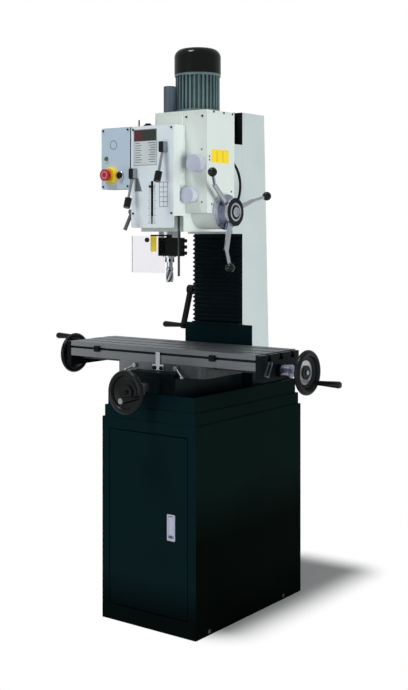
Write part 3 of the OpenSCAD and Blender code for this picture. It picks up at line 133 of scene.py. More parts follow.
class Axis(Enum):
    """Axis of the machine's frame: x to the right, y to the back, z up."""

    X = 0
    Y = 1
    Z = 2

    def point(self, along: float, across: Pair) -> Point:
        """Puts a place along this axis and two across it in x, y, z order."""
        return (*across[:self.value], along, *across[self.value:])


class Lay(Enum):
    """How the grain of a finish runs, as a stretch of its pattern along x, y and z."""

    EVEN = (1, 1, 1)
    ALONG_X = (0.04, 1, 1)
    ALONG_Z = (1, 1, 0.04)
    ROUND_X = (1, 0.08, 0.08)
    ROUND_Z = (0.08, 0.08, 1)


@dataclass(frozen=True)
class Extent:
    """Box of a CAD node at rest, in millimetres."""

    low: Vector
    high: Vector

    @property
    def mid(self) -> Vector:
        """Middle of the box."""
        return (self.low + self.high) / 2


BOX = {node: Extent(*(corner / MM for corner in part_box(node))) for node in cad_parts}


@dataclass(frozen=True)
class Finish:
    """One surface finish, from what the real material is and how it was worked.

    Its lengths are millimetres. The grain is drawn coarser than the real one, so that it shows in the
    render. A fade is an axis and two places on it, between which the colour turns to the shade: painted
    shade that falls along that axis.
    """

    name: str
    colour: str
    shade: str
    roughness: Pair
    metallic: float = 0
    grain: float = 3
    patch: float = 160
    bump: float = 0.02
    edge: float = 0.6
    specular: float = 0.5
    clear: float = 0
    lay: Lay = Lay.EVEN
    fade: tuple[Axis, float, float] | None = None

    def like(self, name: str, colour: str, shade: str, **changes) -> "Finish":
        """Gives another finish that is worked in the same way apart from the changes."""
        return replace(self, name=name, colour=colour, shade=shade, **changes)

    def material(self) -> bpy.types.Material:
        """Builds the finish once and hands out the same material afterwards.

        Returns:
            The node material.
        """
        # the loaded frame has materials under its slot names, so a finish is titled with spaces
        title = self.name.replace("_", " ")
        found = bpy.data.materials.get(title)
        if found:
            return found
        mat = bpy.data.materials.new(title)
        mat.use_nodes = True
        tree = mat.node_tree
        tree.nodes.clear()
        place = add_node(tree, "TexCoord")["Object"]
        run = add_node(tree, "Mapping", {"Vector": place, "Scale": self.lay.value})["Vector"]
        grain = add_node(tree, "TexNoise", {
            "Vector": run, "Scale": 1 / (self.grain * MM), "Detail": GRAIN_DETAIL})["Fac"]
        patch = add_node(tree, "TexNoise", {
            "Vector": place, "Scale": 1 / (self.patch * MM), "Detail": PATCH_DETAIL})["Fac"]
        both = add_node(tree, "Math", {0: grain, 1: patch}, operation="MULTIPLY")[0]
        blend = add_node(tree, "MapRange", {
            "Value": both, "From Min": BLEND_SPAN[0], "From Max": BLEND_SPAN[1]})["Result"]
        if self.fade:
            axis, start, end = self.fade
            along = add_node(tree, "SeparateXYZ", {"Vector": place})[axis.name]
            ramp = add_node(tree, "MapRange", {
                "Value": along, "From Min": start * MM, "From Max": end * MM})["Result"]
            rest = add_node(tree, "Math", {0: blend, 1: 1 - FADE_SHARE}, operation="MULTIPLY")[0]
            blend = add_node(tree, "Math", {0: ramp, 1: FADE_SHARE, 2: rest}, operation="MULTIPLY_ADD")[0]
        # Mix keeps one set of sockets per data type: 6, 7 and output 2 are the colours
        tint = add_node(tree, "Mix", {0: blend, 6: srgb(self.colour), 7: srgb(self.shade)},
                        data_type="RGBA")[2]
        rough = add_node(tree, "MapRange", {
            "Value": grain, "From Min": GRAIN_SPAN[0], "From Max": GRAIN_SPAN[1],
            "To Min": self.roughness[0], "To Max": self.roughness[1]})["Result"]
        edge = add_node(tree, "Bevel", {"Radius": self.edge * MM}, samples=EDGE_SAMPLES)["Normal"]
        bump = add_node(tree, "Bump", {
            "Height": grain, "Distance": self.bump * MM, "Strength": BUMP_STRENGTH,
            "Normal": edge})["Normal"]
        shader = add_node(tree, "BsdfPrincipled", {
            "Base Color": tint, "Roughness": rough, "Normal": bump, "Metallic": self.metallic,
            "Specular IOR Level": self.specular, "Transmission Weight": self.clear,
            "IOR": SHEET_IOR if self.clear else SOLID_IOR})
        add_node(tree, "OutputMaterial", {"Surface": shader["BSDF"]})
        return mat


# Sprayed enamel on cast iron: a pale, slightly green white with a faint orange peel.
WHITE_ENAMEL = Finish("white_enamel", "#dfe8e3", "#d6e0dc", (0.32, 0.42), grain=4, bump=0.03,
                      edge=2.2, specular=0.35)
# Painted shade: a greyer copy of the same enamel, on the column and the slide.
SHADED_WHITE_ENAMEL = WHITE_ENAMEL.like("shaded_white_enamel", "#cdd8d7", "#c4d0d0")
# Sprayed enamel on folded sheet: a deep blue-black with a low gloss, and painted shade that darkens it
# towards the foot.
BLACK_ENAMEL = Finish("black_enamel", "#0c2226", "#020605", (0.22, 0.3), edge=1.2, specular=0.015,
                      fade=(Axis.Z, 170, 60))
# Painted shade: a darker copy of the black enamel on the sides of stand and tray, nearly black towards the
# floor.
SHADED_SIDE_ENAMEL = BLACK_ENAMEL.like("shaded_side_enamel", "#091715", "#010301", roughness=(0.3, 0.4), specular=0.005,
                                fade=(Axis.Z, 480, 300))
# Enamel over the rough skin of a sand casting, which stays uneven under it.
BLACK_CASTING = Finish("black_casting", "#081012", "#0c1518", (0.28, 0.38), grain=5, bump=0.08,
                       edge=2, specular=0.06)
# Ground cast iron, kept oiled: grey with fine marks along the table, with painted shade that darkens it to
# the right.
GROUND_IRON = Finish("ground_iron", "#8a8f92", "#5c6064", (0.3, 0.45), metallic=0.6, grain=2.5,
                     patch=120, bump=0.015, lay=Lay.ALONG_X, fade=(Axis.X, -400, 100))
# Oiled iron of the column's way and the table's front slot, made nearly black with painted shade.
SHADED_WAY_IRON = Finish("shaded_way_iron", "#0c1412", "#121b18", (0.4, 0.55), metallic=0.2, grain=2.5, patch=80,
                  bump=0.015, edge=0.4, specular=0.15, lay=Lay.ALONG_Z)
# Painted cast iron of the saddle, with painted shade that darkens it to the right.
SADDLE_IRON = Finish("saddle_iron", "#85888c", "#1c2325", (0.4, 0.5), metallic=0.1, grain=3.5, patch=90,
                     bump=0.05, edge=2.5, specular=0.3, fade=(Axis.X, -180, 50))
# Turned steel: fine rings round its axis, with the violet cast of the dials.
TURNED_STEEL_X = Finish("turned_steel_x", "#b3b6cc", "#9094a8", (0.2, 0.34), metallic=1, grain=1.4,
                        patch=60, bump=0.012, edge=0.4, lay=Lay.ROUND_X)
# The same on the upright shafts, plain grey.
TURNED_STEEL_Z = TURNED_STEEL_X.like("turned_steel_z", "#b0b4b8", "#858a8f", roughness=(0.16, 0.3),
                                     lay=Lay.ROUND_Z)
# Faced iron left bright round the hubs of the table's wheels.
FACED_IRON = TURNED_STEEL_X.like("faced_iron", "#d3d7d9", "#bcc2c5", roughness=(0.24, 0.36), metallic=0.9,
                                 patch=50)
# Ground steel of small parts, bright without a lay; also a painted highlight on the cross grip's end and the
# gear levers' hubs.
BRIGHT_STEEL_AND_HIGHLIGHT = Finish("bright_steel", "#aeb3b7", "#8b9095", (0.22, 0.36), metallic=1, grain=1.6,
                      patch=60, bump=0.01, edge=0.4)
# Zinc plate with a faint violet cast on the door's pull.
ZINC_PLATE = BRIGHT_STEEL_AND_HIGHLIGHT.like("zinc_plate", "#c9cde0", "#b9bed3", roughness=(0.26, 0.38), metallic=0.6,
                               patch=40, edge=0.5)
# Drawn steel left dull on the quill clamp and the floor tabs.
DULL_STEEL = Finish("dull_steel", "#7d8084", "#54585c", (0.3, 0.46), metallic=1, grain=1.4, patch=40,
                    bump=0.012, edge=0.5)
# Darker drawn steel of the guard's rod and the small screws.
DARK_STEEL = DULL_STEEL.like("dark_steel", "#484c4f", "#303437", metallic=0.8)
# Ground tool steel of the cutter: bright lands, and painted shade that darkens the flutes.
CUTTER_STEEL = DULL_STEEL.like("cutter_steel", "#b9bec2", "#7c8185", roughness=(0.12, 0.24), bump=0.008,
                               edge=0.3)
FLUTE_SHADE_STEEL = DULL_STEEL.like("flute_shade_steel", "#4a4e51", "#303437", roughness=(0.2, 0.34), edge=0.3)
# Nickelled face of the feed hub, with its dark reflection of the room painted into its colour.
NICKEL_DARK_REFLECTION = Finish("nickel_dark_reflection", "#2b363a", "#1c2629", (0.1, 0.2), metallic=1, grain=2, patch=30,
                     bump=0.006)
# Polished chrome plate on the feed hub, its handles and the stop bracket.
CHROME = NICKEL_DARK_REFLECTION.like("polished_chrome", "#c9cdd2", "#b4b9c0", roughness=(0.06, 0.14), patch=40,
                          bump=0.004)
# Black oxide on small steel parts, matt and a little green; also the dark strips of painted shade in the
# collet nut's slots.
BLACK_OXIDE_AND_SHADE = Finish("black_oxide", "#070b09", "#0f1312", (0.36, 0.5), metallic=0.2, grain=2, patch=50,
                     edge=0.8, specular=0.1)
# Sand-cast bronze nuts.
BRONZE = Finish("cast_bronze", "#a67c3d", "#8a642f", (0.3, 0.45), metallic=1, grain=2.5, patch=50,
                bump=0.03)
# Moulded phenolic grips and balls, polished.
BLACK_PHENOLIC = Finish("black_phenolic", "#050607", "#0a0b0c", (0.16, 0.26), grain=2, bump=0.006,
                        edge=0.8, specular=0.3)
# Enamelled iron of the handwheels, smooth and black.
WHEEL_IRON = Finish("wheel_iron", "#06090a", "#0b0f10", (0.26, 0.36), grain=2.5, edge=1, specular=0.2)
# Coated cloth of the bellows, dull with a fine weave.
BELLOWS_CLOTH = Finish("bellows_cloth", "#0b171a", "#132126", (0.5, 0.66), grain=1.2, bump=0.05,
                       edge=0.5, specular=0.14)
# Lacquered sheet of the front panel: pale blue-grey and smooth.
PANEL_SHEET = Finish("panel_sheet", "#ebf5fb", "#e2eff7", (0.3, 0.4), grain=1.2, bump=0.004,
                     edge=0.4, specular=0.3)
# The control panel's own lacquer, a deeper blue-grey.
CONTROL_FACE = PANEL_SHEET.like("control_face", "#c5d9e9", "#bcd1e2")
# Bare edge of the panel sheets, brighter than their faces.
PANEL_EDGE = PANEL_SHEET.like("panel_edge", "#e9f0ef", "#dde6e5", edge=0.3, specular=0.5)
# Painted sheet of the control box, with a faint orange peel.
CONTROL_SHEET = Finish("control_sheet", "#a5b6c4", "#9babba", (0.34, 0.44), grain=2, edge=0.8, specular=0.3)
# Moulded nylon of the speed dials, with a paler turned rim.
DIAL_NYLON = Finish("dial_nylon", "#b6bcd1", "#c0c5d5", (0.34, 0.44), grain=1.5, bump=0.015, edge=1.2)
DIAL_RIM = DIAL_NYLON.like("dial_rim", "#c9d0da", "#b9c1cd", roughness=(0.28, 0.38))
# Motor paint over a finned casting, and the bluer one of the drawbar's cap.
MOTOR_PAINT = Finish("motor_paint", "#6c8486", "#4d6062", (0.3, 0.44), bump=0.05, edge=0.8)
CAP_PAINT = MOTOR_PAINT.like("cap_paint", "#4a5964", "#3d4a54", roughness=(0.34, 0.46), bump=0.03)
# Glossy black enamel on the pressed fan cover.
FAN_ENAMEL = Finish("fan_enamel", "#040605", "#070b09", (0.12, 0.2), edge=1, specular=0.22)
# Moulded button plastics, smooth and even.
RED_PLASTIC = Finish("red_plastic", "#b9101a", "#9c0c15", (0.2, 0.3), grain=1.5, bump=0.006, edge=1.2)
YELLOW_PLASTIC = RED_PLASTIC.like("yellow_plastic", "#fce02a", "#f5d722", roughness=(0.3, 0.4), edge=0.6)
# Moulded lens of the lamp, glossy and unlit.
GREEN_LENS = Finish("green_lens", "#2b7f4c", "#1f6a3c", (0.1, 0.18), grain=1.2, bump=0.004)
# Clear polycarbonate sheet of the guard: thin and nearly colourless.
CLEAR_SHEET = Finish("clear_sheet", "#eeedf1", "#e9e8ed", (0.02, 0.05), grain=30, bump=0, edge=0.3, clear=1)
# Sawn edge of that sheet, darkened with painted shade.
SHADED_SHEET_EDGE = Finish("shaded_sheet_edge", "#7d7f84", "#6c6e73", (0.3, 0.4), grain=1.5, bump=0.01, edge=0.2)
# Vinyl sheath of the cable, a dull black.
CABLE_SHEATH = Finish("cable_sheath", "#0a0d0d", "#121616", (0.4, 0.55), grain=1.5, edge=0.2, specular=0.2)
# Screen printing inks, thin and matt; the dark one also paints the shade on the walls of the depth slot.
DARK_INK_AND_SHADE = Finish("dark_ink_and_shade", "#16241f", "#1f2d28", (0.4, 0.5), grain=1, bump=0.002, edge=0.1)
INK_GREY = DARK_INK_AND_SHADE.like("ink_grey", "#6b767d", "#5f6a72")
INK_RED = DARK_INK_AND_SHADE.like("ink_red", "#4a0d1a", "#581321")
# Print on the stop button, glossier than ink on a panel.
PINK_PRINT = Finish("pink_print", "#d9848a", "#cf767d", (0.3, 0.4), grain=1, bump=0.004, edge=0.3)
# Pale aluminium foil of the bare data plate.
PLATE_SHEET = Finish("plate_sheet", "#dde5e8", "#d2dbdf", (0.24, 0.34), metallic=0.1, grain=1.2,
                     patch=40, bump=0.004, edge=0.2)

FINISH_NODES = {
    BLACK_ENAMEL: ("cabinet", "cabinet_door", "chip_tray", "way_plate"),
    BLACK_CASTING: ("base_casting", "table_brackets"),
    SHADED_WHITE_ENAMEL: ("column",),
    WHITE_ENAMEL: ("head_casting", "gearbox_housing", "gearbox_lid", "front_cover"),
    CONTROL_SHEET: ("control_box",),
    PANEL_SHEET: ("front_panels",),
    ZINC_PLATE: ("latch_plate", "latch_paddle"),
    SADDLE_IRON: ("saddle",),
    GROUND_IRON: ("table",),
    CHROME: ("stop_bracket", "feed_hub", "feed_spokes"),
    BRONZE: ("feed_nuts",),
    BRIGHT_STEEL_AND_HIGHLIGHT: ("table_lock_lever", "saddle_lock_lever", "table_fittings", "y_leadscrew", "motor_rotor",
                   "cluster_gear"),
    TURNED_STEEL_X: ("x_leadscrew",),
    TURNED_STEEL_Z: ("z_leadscrew", "spindle_sleeve", "spindle", "end_mill", "quill"),
    WHEEL_IRON: ("x_handwheels", "y_handwheel", "z_crank"),
    BLACK_PHENOLIC: ("x_grip_left", "x_grip_right", "y_grip", "z_grip", "depth_pointer", "feed_balls",
                     "gear_lever_left", "gear_lever_right", "start_button"),
    GREEN_LENS: ("indicator_lamp",),
    BLACK_OXIDE_AND_SHADE: ("machine_bolts", "cover_screws", "guard_bracket"),
    MOTOR_PAINT: ("motor_body",),
    FAN_ENAMEL: ("fan_cover",),
    CAP_PAINT: ("drawbar_cap",),
    DARK_STEEL: ("guard_post",),
    DIAL_NYLON: ("speed_dial_upper", "speed_dial_lower"),
    DULL_STEEL: ("quill_lock_lever",),
    RED_PLASTIC: ("estop_button",),
    CLEAR_SHEET: ("guard_shield",),
    BELLOWS_CLOTH: ("column_bellows",),
    CABLE_SHEATH: ("head_cable",),
}


def scale(count: int, start: float, lengths: Pair) -> Places:
    """Places the lines of a dial's scale, long and short ones, from where they start along its axis."""
    return [(FULL_TURN * i / count, (start, start + lengths[i % LONG_EVERY > 0])) for i in range(count)]


class Sketch:
    """A mesh in the making, in millimetres of the machine's frame."""

    def __init__(self) -> None:
        """Starts an empty mesh."""
        self.bm = bmesh.new()

    def skin(self, rings: list[list[Point]], closed: bool = False) -> "Sketch":
        """Joins rings of points with faces.

        Args:
            rings: Points round each ring, as many on each.
            closed: Whether the last ring joins the first. Otherwise both of them are filled.

        Returns:
            The sketch.
        """
        loops = [[self.bm.verts.new(spot) for spot in ring] for ring in rings]
        n = len(rings[0])
        for a, b in zip(loops, loops[1:] + loops[:1] if closed else loops[1:]):
            for k in range(n):
                self.bm.faces.new((a[k], a[(k + 1) % n], b[(k + 1) % n], b[k]))
        if not closed:
            self.bm.faces.new(loops[0])
            self.bm.faces.new(loops[-1])
        return self

    def box(self, x: Pair, y: Pair, z: Pair) -> "Sketch":
        """Adds a block between low and high x, y and z."""
        return self.skin([[(x[0], y[0], h), (x[1], y[0], h), (x[1], y[1], h), (x[0], y[1], h)] for h in z])

    def prism(self, outline: list[Pair], depth: Pair, axis: Axis) -> "Sketch":
        """Adds a sheet that faces an axis, from its outline across and its back and front along it."""
        return self.skin([[axis.point(d, spot) for spot in outline] for d in depth])

    def sheet(self, u: Pair, z: Pair, depth: Pair, axis: Axis, corner: float = 3.0) -> "Sketch":
        """Adds a thin upright sheet with rounded corners.

        Args:
            u: Low and high place across, in y where the sheet faces x and in x where it faces y.
            z: Low and high z.
            depth: Back and front of the sheet along its axis.
            axis: The way it faces.
            corner: Radius of its corners.

        Returns:
            The sketch.
        """
        steps = 4
        centres = ((u[1] - corner, z[1] - corner), (u[0] + corner, z[1] - corner),
                   (u[0] + corner, z[0] + corner), (u[1] - corner, z[0] + corner))
        outline = []
        for quarter, (a, b) in enumerate(centres):
            for i in range(steps + 1):
                turn = FULL_TURN / 4 * (quarter + i / steps)
                outline.append((a + corner * math.cos(turn), b + corner * math.sin(turn)))
        return self.prism(outline, depth, axis)

    def turned(self, section: Section, axis: Axis, centre: Pair, face: float, way: int,
               sides: int = SIDES) -> "Sketch":
        """Adds a closed section turned about an axis.

        Args:
            section: Pairs of radius and height over the face, in order round the section.
            axis: The axis.
            centre: The two other coordinates, in x, y, z order.
            face: Place of the face along the axis.
            way: 1 where the section rises along the axis, -1 where it rises against it.
            sides: Facets round the axis.

        Returns:
            The sketch.
        """
        turns = [FULL_TURN * k / sides for k in range(sides)]
        u, v = centre
        return self.skin([[axis.point(face + way * h, (u + r * math.cos(a), v + r * math.sin(a)))
                           for r, h in section] for a in turns], closed=True)

    def tube(self, route: list[Point], radius: float, sides: int) -> "Sketch":
        """Adds a tube with filled ends.

        Args:
            route: Places along the middle.
            radius: Radius of the tube.
            sides: Facets round it.

        Returns:
            The sketch.
        """
        path = [Vector(spot) for spot in route]
        turns = [FULL_TURN * k / sides for k in range(sides)]
        rings = []
        across = None
        for i, spot in enumerate(path):
            run = (path[min(i + 1, len(path) - 1)] - path[max(i - 1, 0)]).normalized()
            across = run.orthogonal() if across is None else across - run * across.dot(run)
            across.normalize()
            other = run.cross(across)
            rings.append([spot + radius * (math.cos(a) * across + math.sin(a) * other) for a in turns])
        return self.skin(rings)

    def marks(self, axis: Axis, centre: Pair, radius: float, half: float, places: Places) -> "Sketch":
        """Adds thin marks on a round face.

        Args:
            axis: Axis of the round face.
            centre: The two other coordinates, in x, y, z order.
            radius: Radius of the face.
            half: Half a mark's width, in radians.
            places: Each mark's turn round the axis, in radians, and its two ends along it.

        Returns:
            The sketch.
        """
        u, v = centre
        inner, outer = radius - MARK_SUNK, radius + MARK_PROUD
        corners = ((inner, -half), (outer, -half), (outer, half), (inner, half))
        for turn, ends in places:
            self.skin([[axis.point(t, (u + r * math.cos(turn + a), v + r * math.sin(turn + a)))
                        for r, a in corners] for t in ends])
        return self

    def piece(self, name: str, body: str, finish: Finish, slot: str,
              smooth: float = 0.0) -> bpy.types.Object:
        """Turns the sketch into an object that rides a body.

        Args:
            name: Name of the piece.
            body: CAD body that carries it, or "" where it joins two.
            finish: Its finish.
            slot: Not used.
            smooth: Angle in degrees below which edges are shaded smooth.

        Returns:
            The object.
        """
        bmesh.ops.recalc_face_normals(self.bm, faces=self.bm.faces)
        for vert in self.bm.verts:
            vert.co *= MM
        mesh = bpy.data.meshes.new(name)
        self.bm.to_mesh(mesh)
        self.bm.free()
        obj = bpy.data.objects.new(name, mesh)
        bpy.context.collection.objects.link(obj)
        mesh.materials.append(finish.material())
        if smooth:
            for face in mesh.polygons:
                face.use_smooth = True
            mesh.set_sharp_from_angle(angle=math.radians(smooth))
        if body:
            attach(obj, body)
        LOG.info("piece %s on %s", name, body or "two bodies")
        return obj


def paint(node: str | bpy.types.Object, finish: Finish, chosen: Chooser) -> None:
    """Gives some faces of a CAD node or a piece a second finish.

    Args:
        node: Name of the CAD node, or the piece itself.
        finish: The second finish.
        chosen: Tells from a face's centre in millimetres and its normal whether it takes the finish.
    """
    mesh = (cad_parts[node] if isinstance(node, str) else node).data
    mesh.materials.append(finish.material())
    index = len(mesh.materials) - 1
    for face in mesh.polygons:
        if chosen(face.center / MM, face.normal):
            face.material_index = index


def dress_nodes() -> None:
    """Gives every CAD node its finish."""
    finishes = {node: finish for finish, nodes in FINISH_NODES.items() for node in nodes}
    for name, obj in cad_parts.items():
        obj.data.materials.clear()
        obj.data.materials.append(finishes[name].material())
        LOG.info("node %s: %s", name, finishes[name].name)


@dataclass
class FaceDetails:
    """Faces of the CAD nodes whose finish differs from the rest of their node, several of them painted shade
    or a painted highlight.
    """

    way_depth: float = 12.5
    way_foot: float = 19
    slide_y: float = 20
    bolt_x: float = 15
    bolt_rise: float = 26
    bolt_reach: float = 8
    bolt_h: float = 4.9
    slot_drop: float = 18.6
    slot_reach: float = 8
    slot_depth: Pair = (0.2, 12)
    hub_r: float = 18
    hub_reach: float = 19
    stem_reach: float = 80
    lit_hub_side: float = 0.7
    rim_tilt: float = 0.5
    depth_slot_half: float = 6
    depth_slot_top: float = 1500

    def build(self) -> None:
        """Finishes such faces of the stand and the column, then of the table, then of the head."""
        # the sides of stand and tray: a darker copy of the black enamel, painted shade
        for node in ("cabinet", "chip_tray"):
            paint(node, SHADED_SIDE_ENAMEL, lambda c, n: abs(n.x) > SQUARE)
        # the column's front way: dark oiled iron, with painted shade that makes it nearly black
        way_y = BOX["column"].low.y + self.way_depth
        way_z = BOX["column"].low.z + self.way_foot
        paint("column", SHADED_WAY_IRON, lambda c, n: c.y < way_y and c.z > way_z)
        paint("table_fittings", BLACK_OXIDE_AND_SHADE, lambda c, n: c.x < BOX["table"].high.x)
        bolt_y = BOX["stop_bracket"].low.y + self.bolt_h
        bolt_z = BOX["saddle"].low.z + self.bolt_rise
        paint("stop_bracket", BLACK_OXIDE_AND_SHADE, lambda c, n: c.y < bolt_y and math.hypot(
            abs(c.x) - self.bolt_x, c.z - bolt_z) < self.bolt_reach)
        # the table's front slot: painted shade in the recess
        shallow, deep = (BOX["table"].low.y + depth for depth in self.slot_depth)
        slot_z = BOX["table"].high.z - self.slot_drop
        paint("table", SHADED_WAY_IRON, lambda c, n: shallow < c.y < deep and abs(c.z - slot_z) < self.slot_reach)
        # the forward end of the cross wheel's grip: a painted highlight in bright steel
        paint("y_grip", BRIGHT_STEEL_AND_HIGHLIGHT, lambda c, n: n.y < -SQUARE)
        # the slide behind the gearbox: painted shade, as the greyer copy of the white enamel
        paint("head_casting", SHADED_WHITE_ENAMEL, lambda c, n: c.y > self.slide_y)
        # the rods of the gear levers are bright steel; the right side of each hub takes it too, as a painted
        # highlight
        for node in ("gear_lever_left", "gear_lever_right"):
            pivot = BOX[node].high.z - self.hub_r
            paint(node, BRIGHT_STEEL_AND_HIGHLIGHT, lambda c, n, z=pivot: -self.stem_reach < c.z - z < -self.hub_reach or (
                abs(c.z - z) < self.hub_reach and n.x > self.lit_hub_side))
        for node in ("speed_dial_upper", "speed_dial_lower"):
            paint(node, DIAL_RIM, lambda c, n: abs(n.y) < self.rim_tilt)
        paint("front_panels", CONTROL_FACE, lambda c, n: c.x < BOX["front_cover"].low.x)
        paint("front_panels", PANEL_EDGE, lambda c, n: abs(n.y) < SQUARE)
        # walls of the depth slot: painted shade in the dark ink
        for node in ("front_cover", "front_panels"):
            paint(node, DARK_INK_AND_SHADE, lambda c, n: abs(c.x) < self.depth_slot_half and c.z < self.depth_slot_top
                  and abs(n.y) < SQUARE)
        # the left edge of the guard's sheet: painted shade
        paint("guard_shield", SHADED_SHEET_EDGE, lambda c, n: n.x < -SQUARE)


@dataclass
class FrontPanel:
    """Prints on the front panel and the control panel."""

    face_y: float = BOX["front_panels"].low.y
    film: float = 0.25
    plate_x: Pair = (-80, 20)
    plate_z: Pair = (1556, 1678)
    plate_border: float = 1.2
    band_h: float = 40
    band_margin: float = 2
    band_corner: float = 1.5
    block_w: float = 36
    rows_inset: float = 6
    rows_pitch: float = 8
    row_h: float = 2.4
    left_rows: tuple[float, ...] = (20, 27, 21, 28, 22, 29, 23, 30, 24)
    right_rows: tuple[float, ...] = (32, 27, 22, 28, 23, 29, 24, 30, 25)
    scale_x: float = 10
    scale_z: Pair = (1360, 1496)
    scale_steps: int = 27
    scale_lines: Pair = (6, 3.2)
    scale_half: float = 0.7
    chart_x: Pair = (32, 66)
    chart_z: Pair = (1415, 1497)
    chart_rows: int = 5
    chart_half: float = 0.8
    ring_at: Pair = (-172, 1631)
    ring_r: Pair = (13.6, 16)
    trapezoid: Section = ((-76, 1468), (-44, 1468), (-60, 1512), (-70, 1512))

    def build(self) -> None:
        """Makes the plate, the depth scale, the chart, the control panel's ring and a flat grey trapezoid
        below the left lever.
        """
        self._plate()
        self._scale()
        self._chart()
        inner, outer = self.ring_r
        section = ((inner, self.film), (outer, self.film), (outer, 0), (inner, 0))
        ring = Sketch().turned(section, Axis.Y, self.ring_at, self.face_y, -1)
        self._print(ring, "printed_ring", INK_GREY, smooth=30)
        self._print(Sketch().prism(list(self.trapezoid), self._layer(), Axis.Y), "lever_trapezoid", INK_GREY)

    def _layer(self, step: int = 0) -> Pair:
        """Gives the depth of a print, further out by whole layers."""
        return (self.face_y - (step + 1) * self.film, self.face_y - step * self.film)

    def _print(self, sketch: Sketch, name: str, ink: Finish, smooth: float = 0.0) -> None:
        """Puts a print on the head."""
        sketch.piece(name, "head", ink, "panel_sheet", smooth)

    def _plate(self) -> None:
        """Makes the bare data plate with its two coloured fields, its plain bars and its border."""
        x0, x1 = self.plate_x
        z0, z1 = self.plate_z
        self._print(Sketch().sheet((x0, x1), (z0, z1), self._layer(), Axis.Y), "data_plate", PLATE_SHEET)
        split = x0 + self.block_w
        fields_z = (z1 - self.band_h, z1 - self.band_margin)
        for name, across, ink in (("plate_block", (x0 + self.band_margin, split), INK_RED),
                                  ("plate_band", (split, x1 - self.band_margin), DARK_INK_AND_SHADE)):
            field = Sketch().sheet(across, fields_z, self._layer(1), Axis.Y, self.band_corner)
            self._print(field, name, ink)
        rows = Sketch()
        left, right = x0 + self.rows_inset, x1 - self.rows_inset
        z = z1 - self.band_h
        for left_l, right_l in zip(self.left_rows, self.right_rows):
            z -= self.rows_pitch
            rows.box((left, left + left_l), self._layer(1), (z, z + self.row_h))
            rows.box((right - right_l, right), self._layer(1), (z, z + self.row_h))
        self._print(rows, "plate_rows", INK_GREY)
        w = self.plate_border
        border = Sketch()
        for z in (z0, z1 - w):
            border.box((x0, x1), self._layer(1), (z, z + w))
        for x in (x0, x1 - w):
            border.box((x, x + w), self._layer(1), (z0 + w, z1 - w))
        self._print(border, "plate_border", DARK_INK_AND_SHADE)

    def _scale(self) -> None:
        """Makes the lines on both sides of the depth slot."""
        marks = Sketch()
        z0, z1 = self.scale_z
        for i in range(self.scale_steps + 1):
            z = z0 + i * (z1 - z0) / self.scale_steps
            far = self.scale_x + self.scale_lines[i % LONG_EVERY > 0]
            for across in ((-far, -self.scale_x), (self.scale_x, far)):
                marks.box(across, self._layer(), (z - self.scale_half, z + self.scale_half))
        self._print(marks, "depth_scale", DARK_INK_AND_SHADE)

    def _chart(self) -> None:
        """Makes the bare grid right of the slot."""
        chart = Sketch()
        x0, x1 = self.chart_x
        z0, z1 = self.chart_z
        half = self.chart_half
        for i in range(self.chart_rows + 1):
            z = z0 + i * (z1 - z0) / self.chart_rows
            chart.box((x0, x1), self._layer(), (z - half, z + half))
        for x in (x0, (x0 + x1) / 2, x1):
            chart.box((x - half, x + half), self._layer(), (z0 + half, z1 - half))
        self._print(chart, "speed_chart", INK_GREY)


@dataclass
class ButtonCollars:
    """Collars behind the emergency stop and the start button, the lamp's rim and the print on the stop."""

    face_y: float = BOX["front_panels"].low.y
    stop: Pair = BOX["estop_button"].mid.xz[:]
    stop_front: float = BOX["estop_button"].low.y
    start: Pair = BOX["start_button"].mid.xz[:]
    lamp: Pair = BOX["indicator_lamp"].mid.xz[:]
    stop_collar: Section = ((10, 0), (31, 0), (31, 2), (25, 14), (10, 14))
    start_collar: Section = ((10.8, 0), (16, 0), (16, 3), (14, 5), (10.8, 5))
    stop_print: Section = ((9, 0), (14, 0), (14, 0.4), (9, 0.4))
    lamp_rim: Section = ((6.8, 0), (9, 0), (8.4, 2.5), (6.8, 2.5))

    def build(self) -> None:
        """Turns the three collars and the printed ring."""
        y = self.face_y
        for name, body, section, face, spot, sides, finish, slot in (
                ("stop_collar", "head", self.stop_collar, y, self.stop, FINE_SIDES, YELLOW_PLASTIC,
                 "red_plastic"),
                ("start_collar", "head", self.start_collar, y, self.start, SIDES, CHROME, "chrome_plate"),
                ("stop_ring_print", "estop", self.stop_print, self.stop_front, self.stop, SIDES, PINK_PRINT,
                 "red_plastic"),
                ("lamp_rim", "head", self.lamp_rim, y, self.lamp, SIDES, CHROME, "chrome_plate")):
            sketch = Sketch().turned(section, Axis.Y, spot, face, -1, sides)
            sketch.piece(name, body, finish, slot, smooth=30)


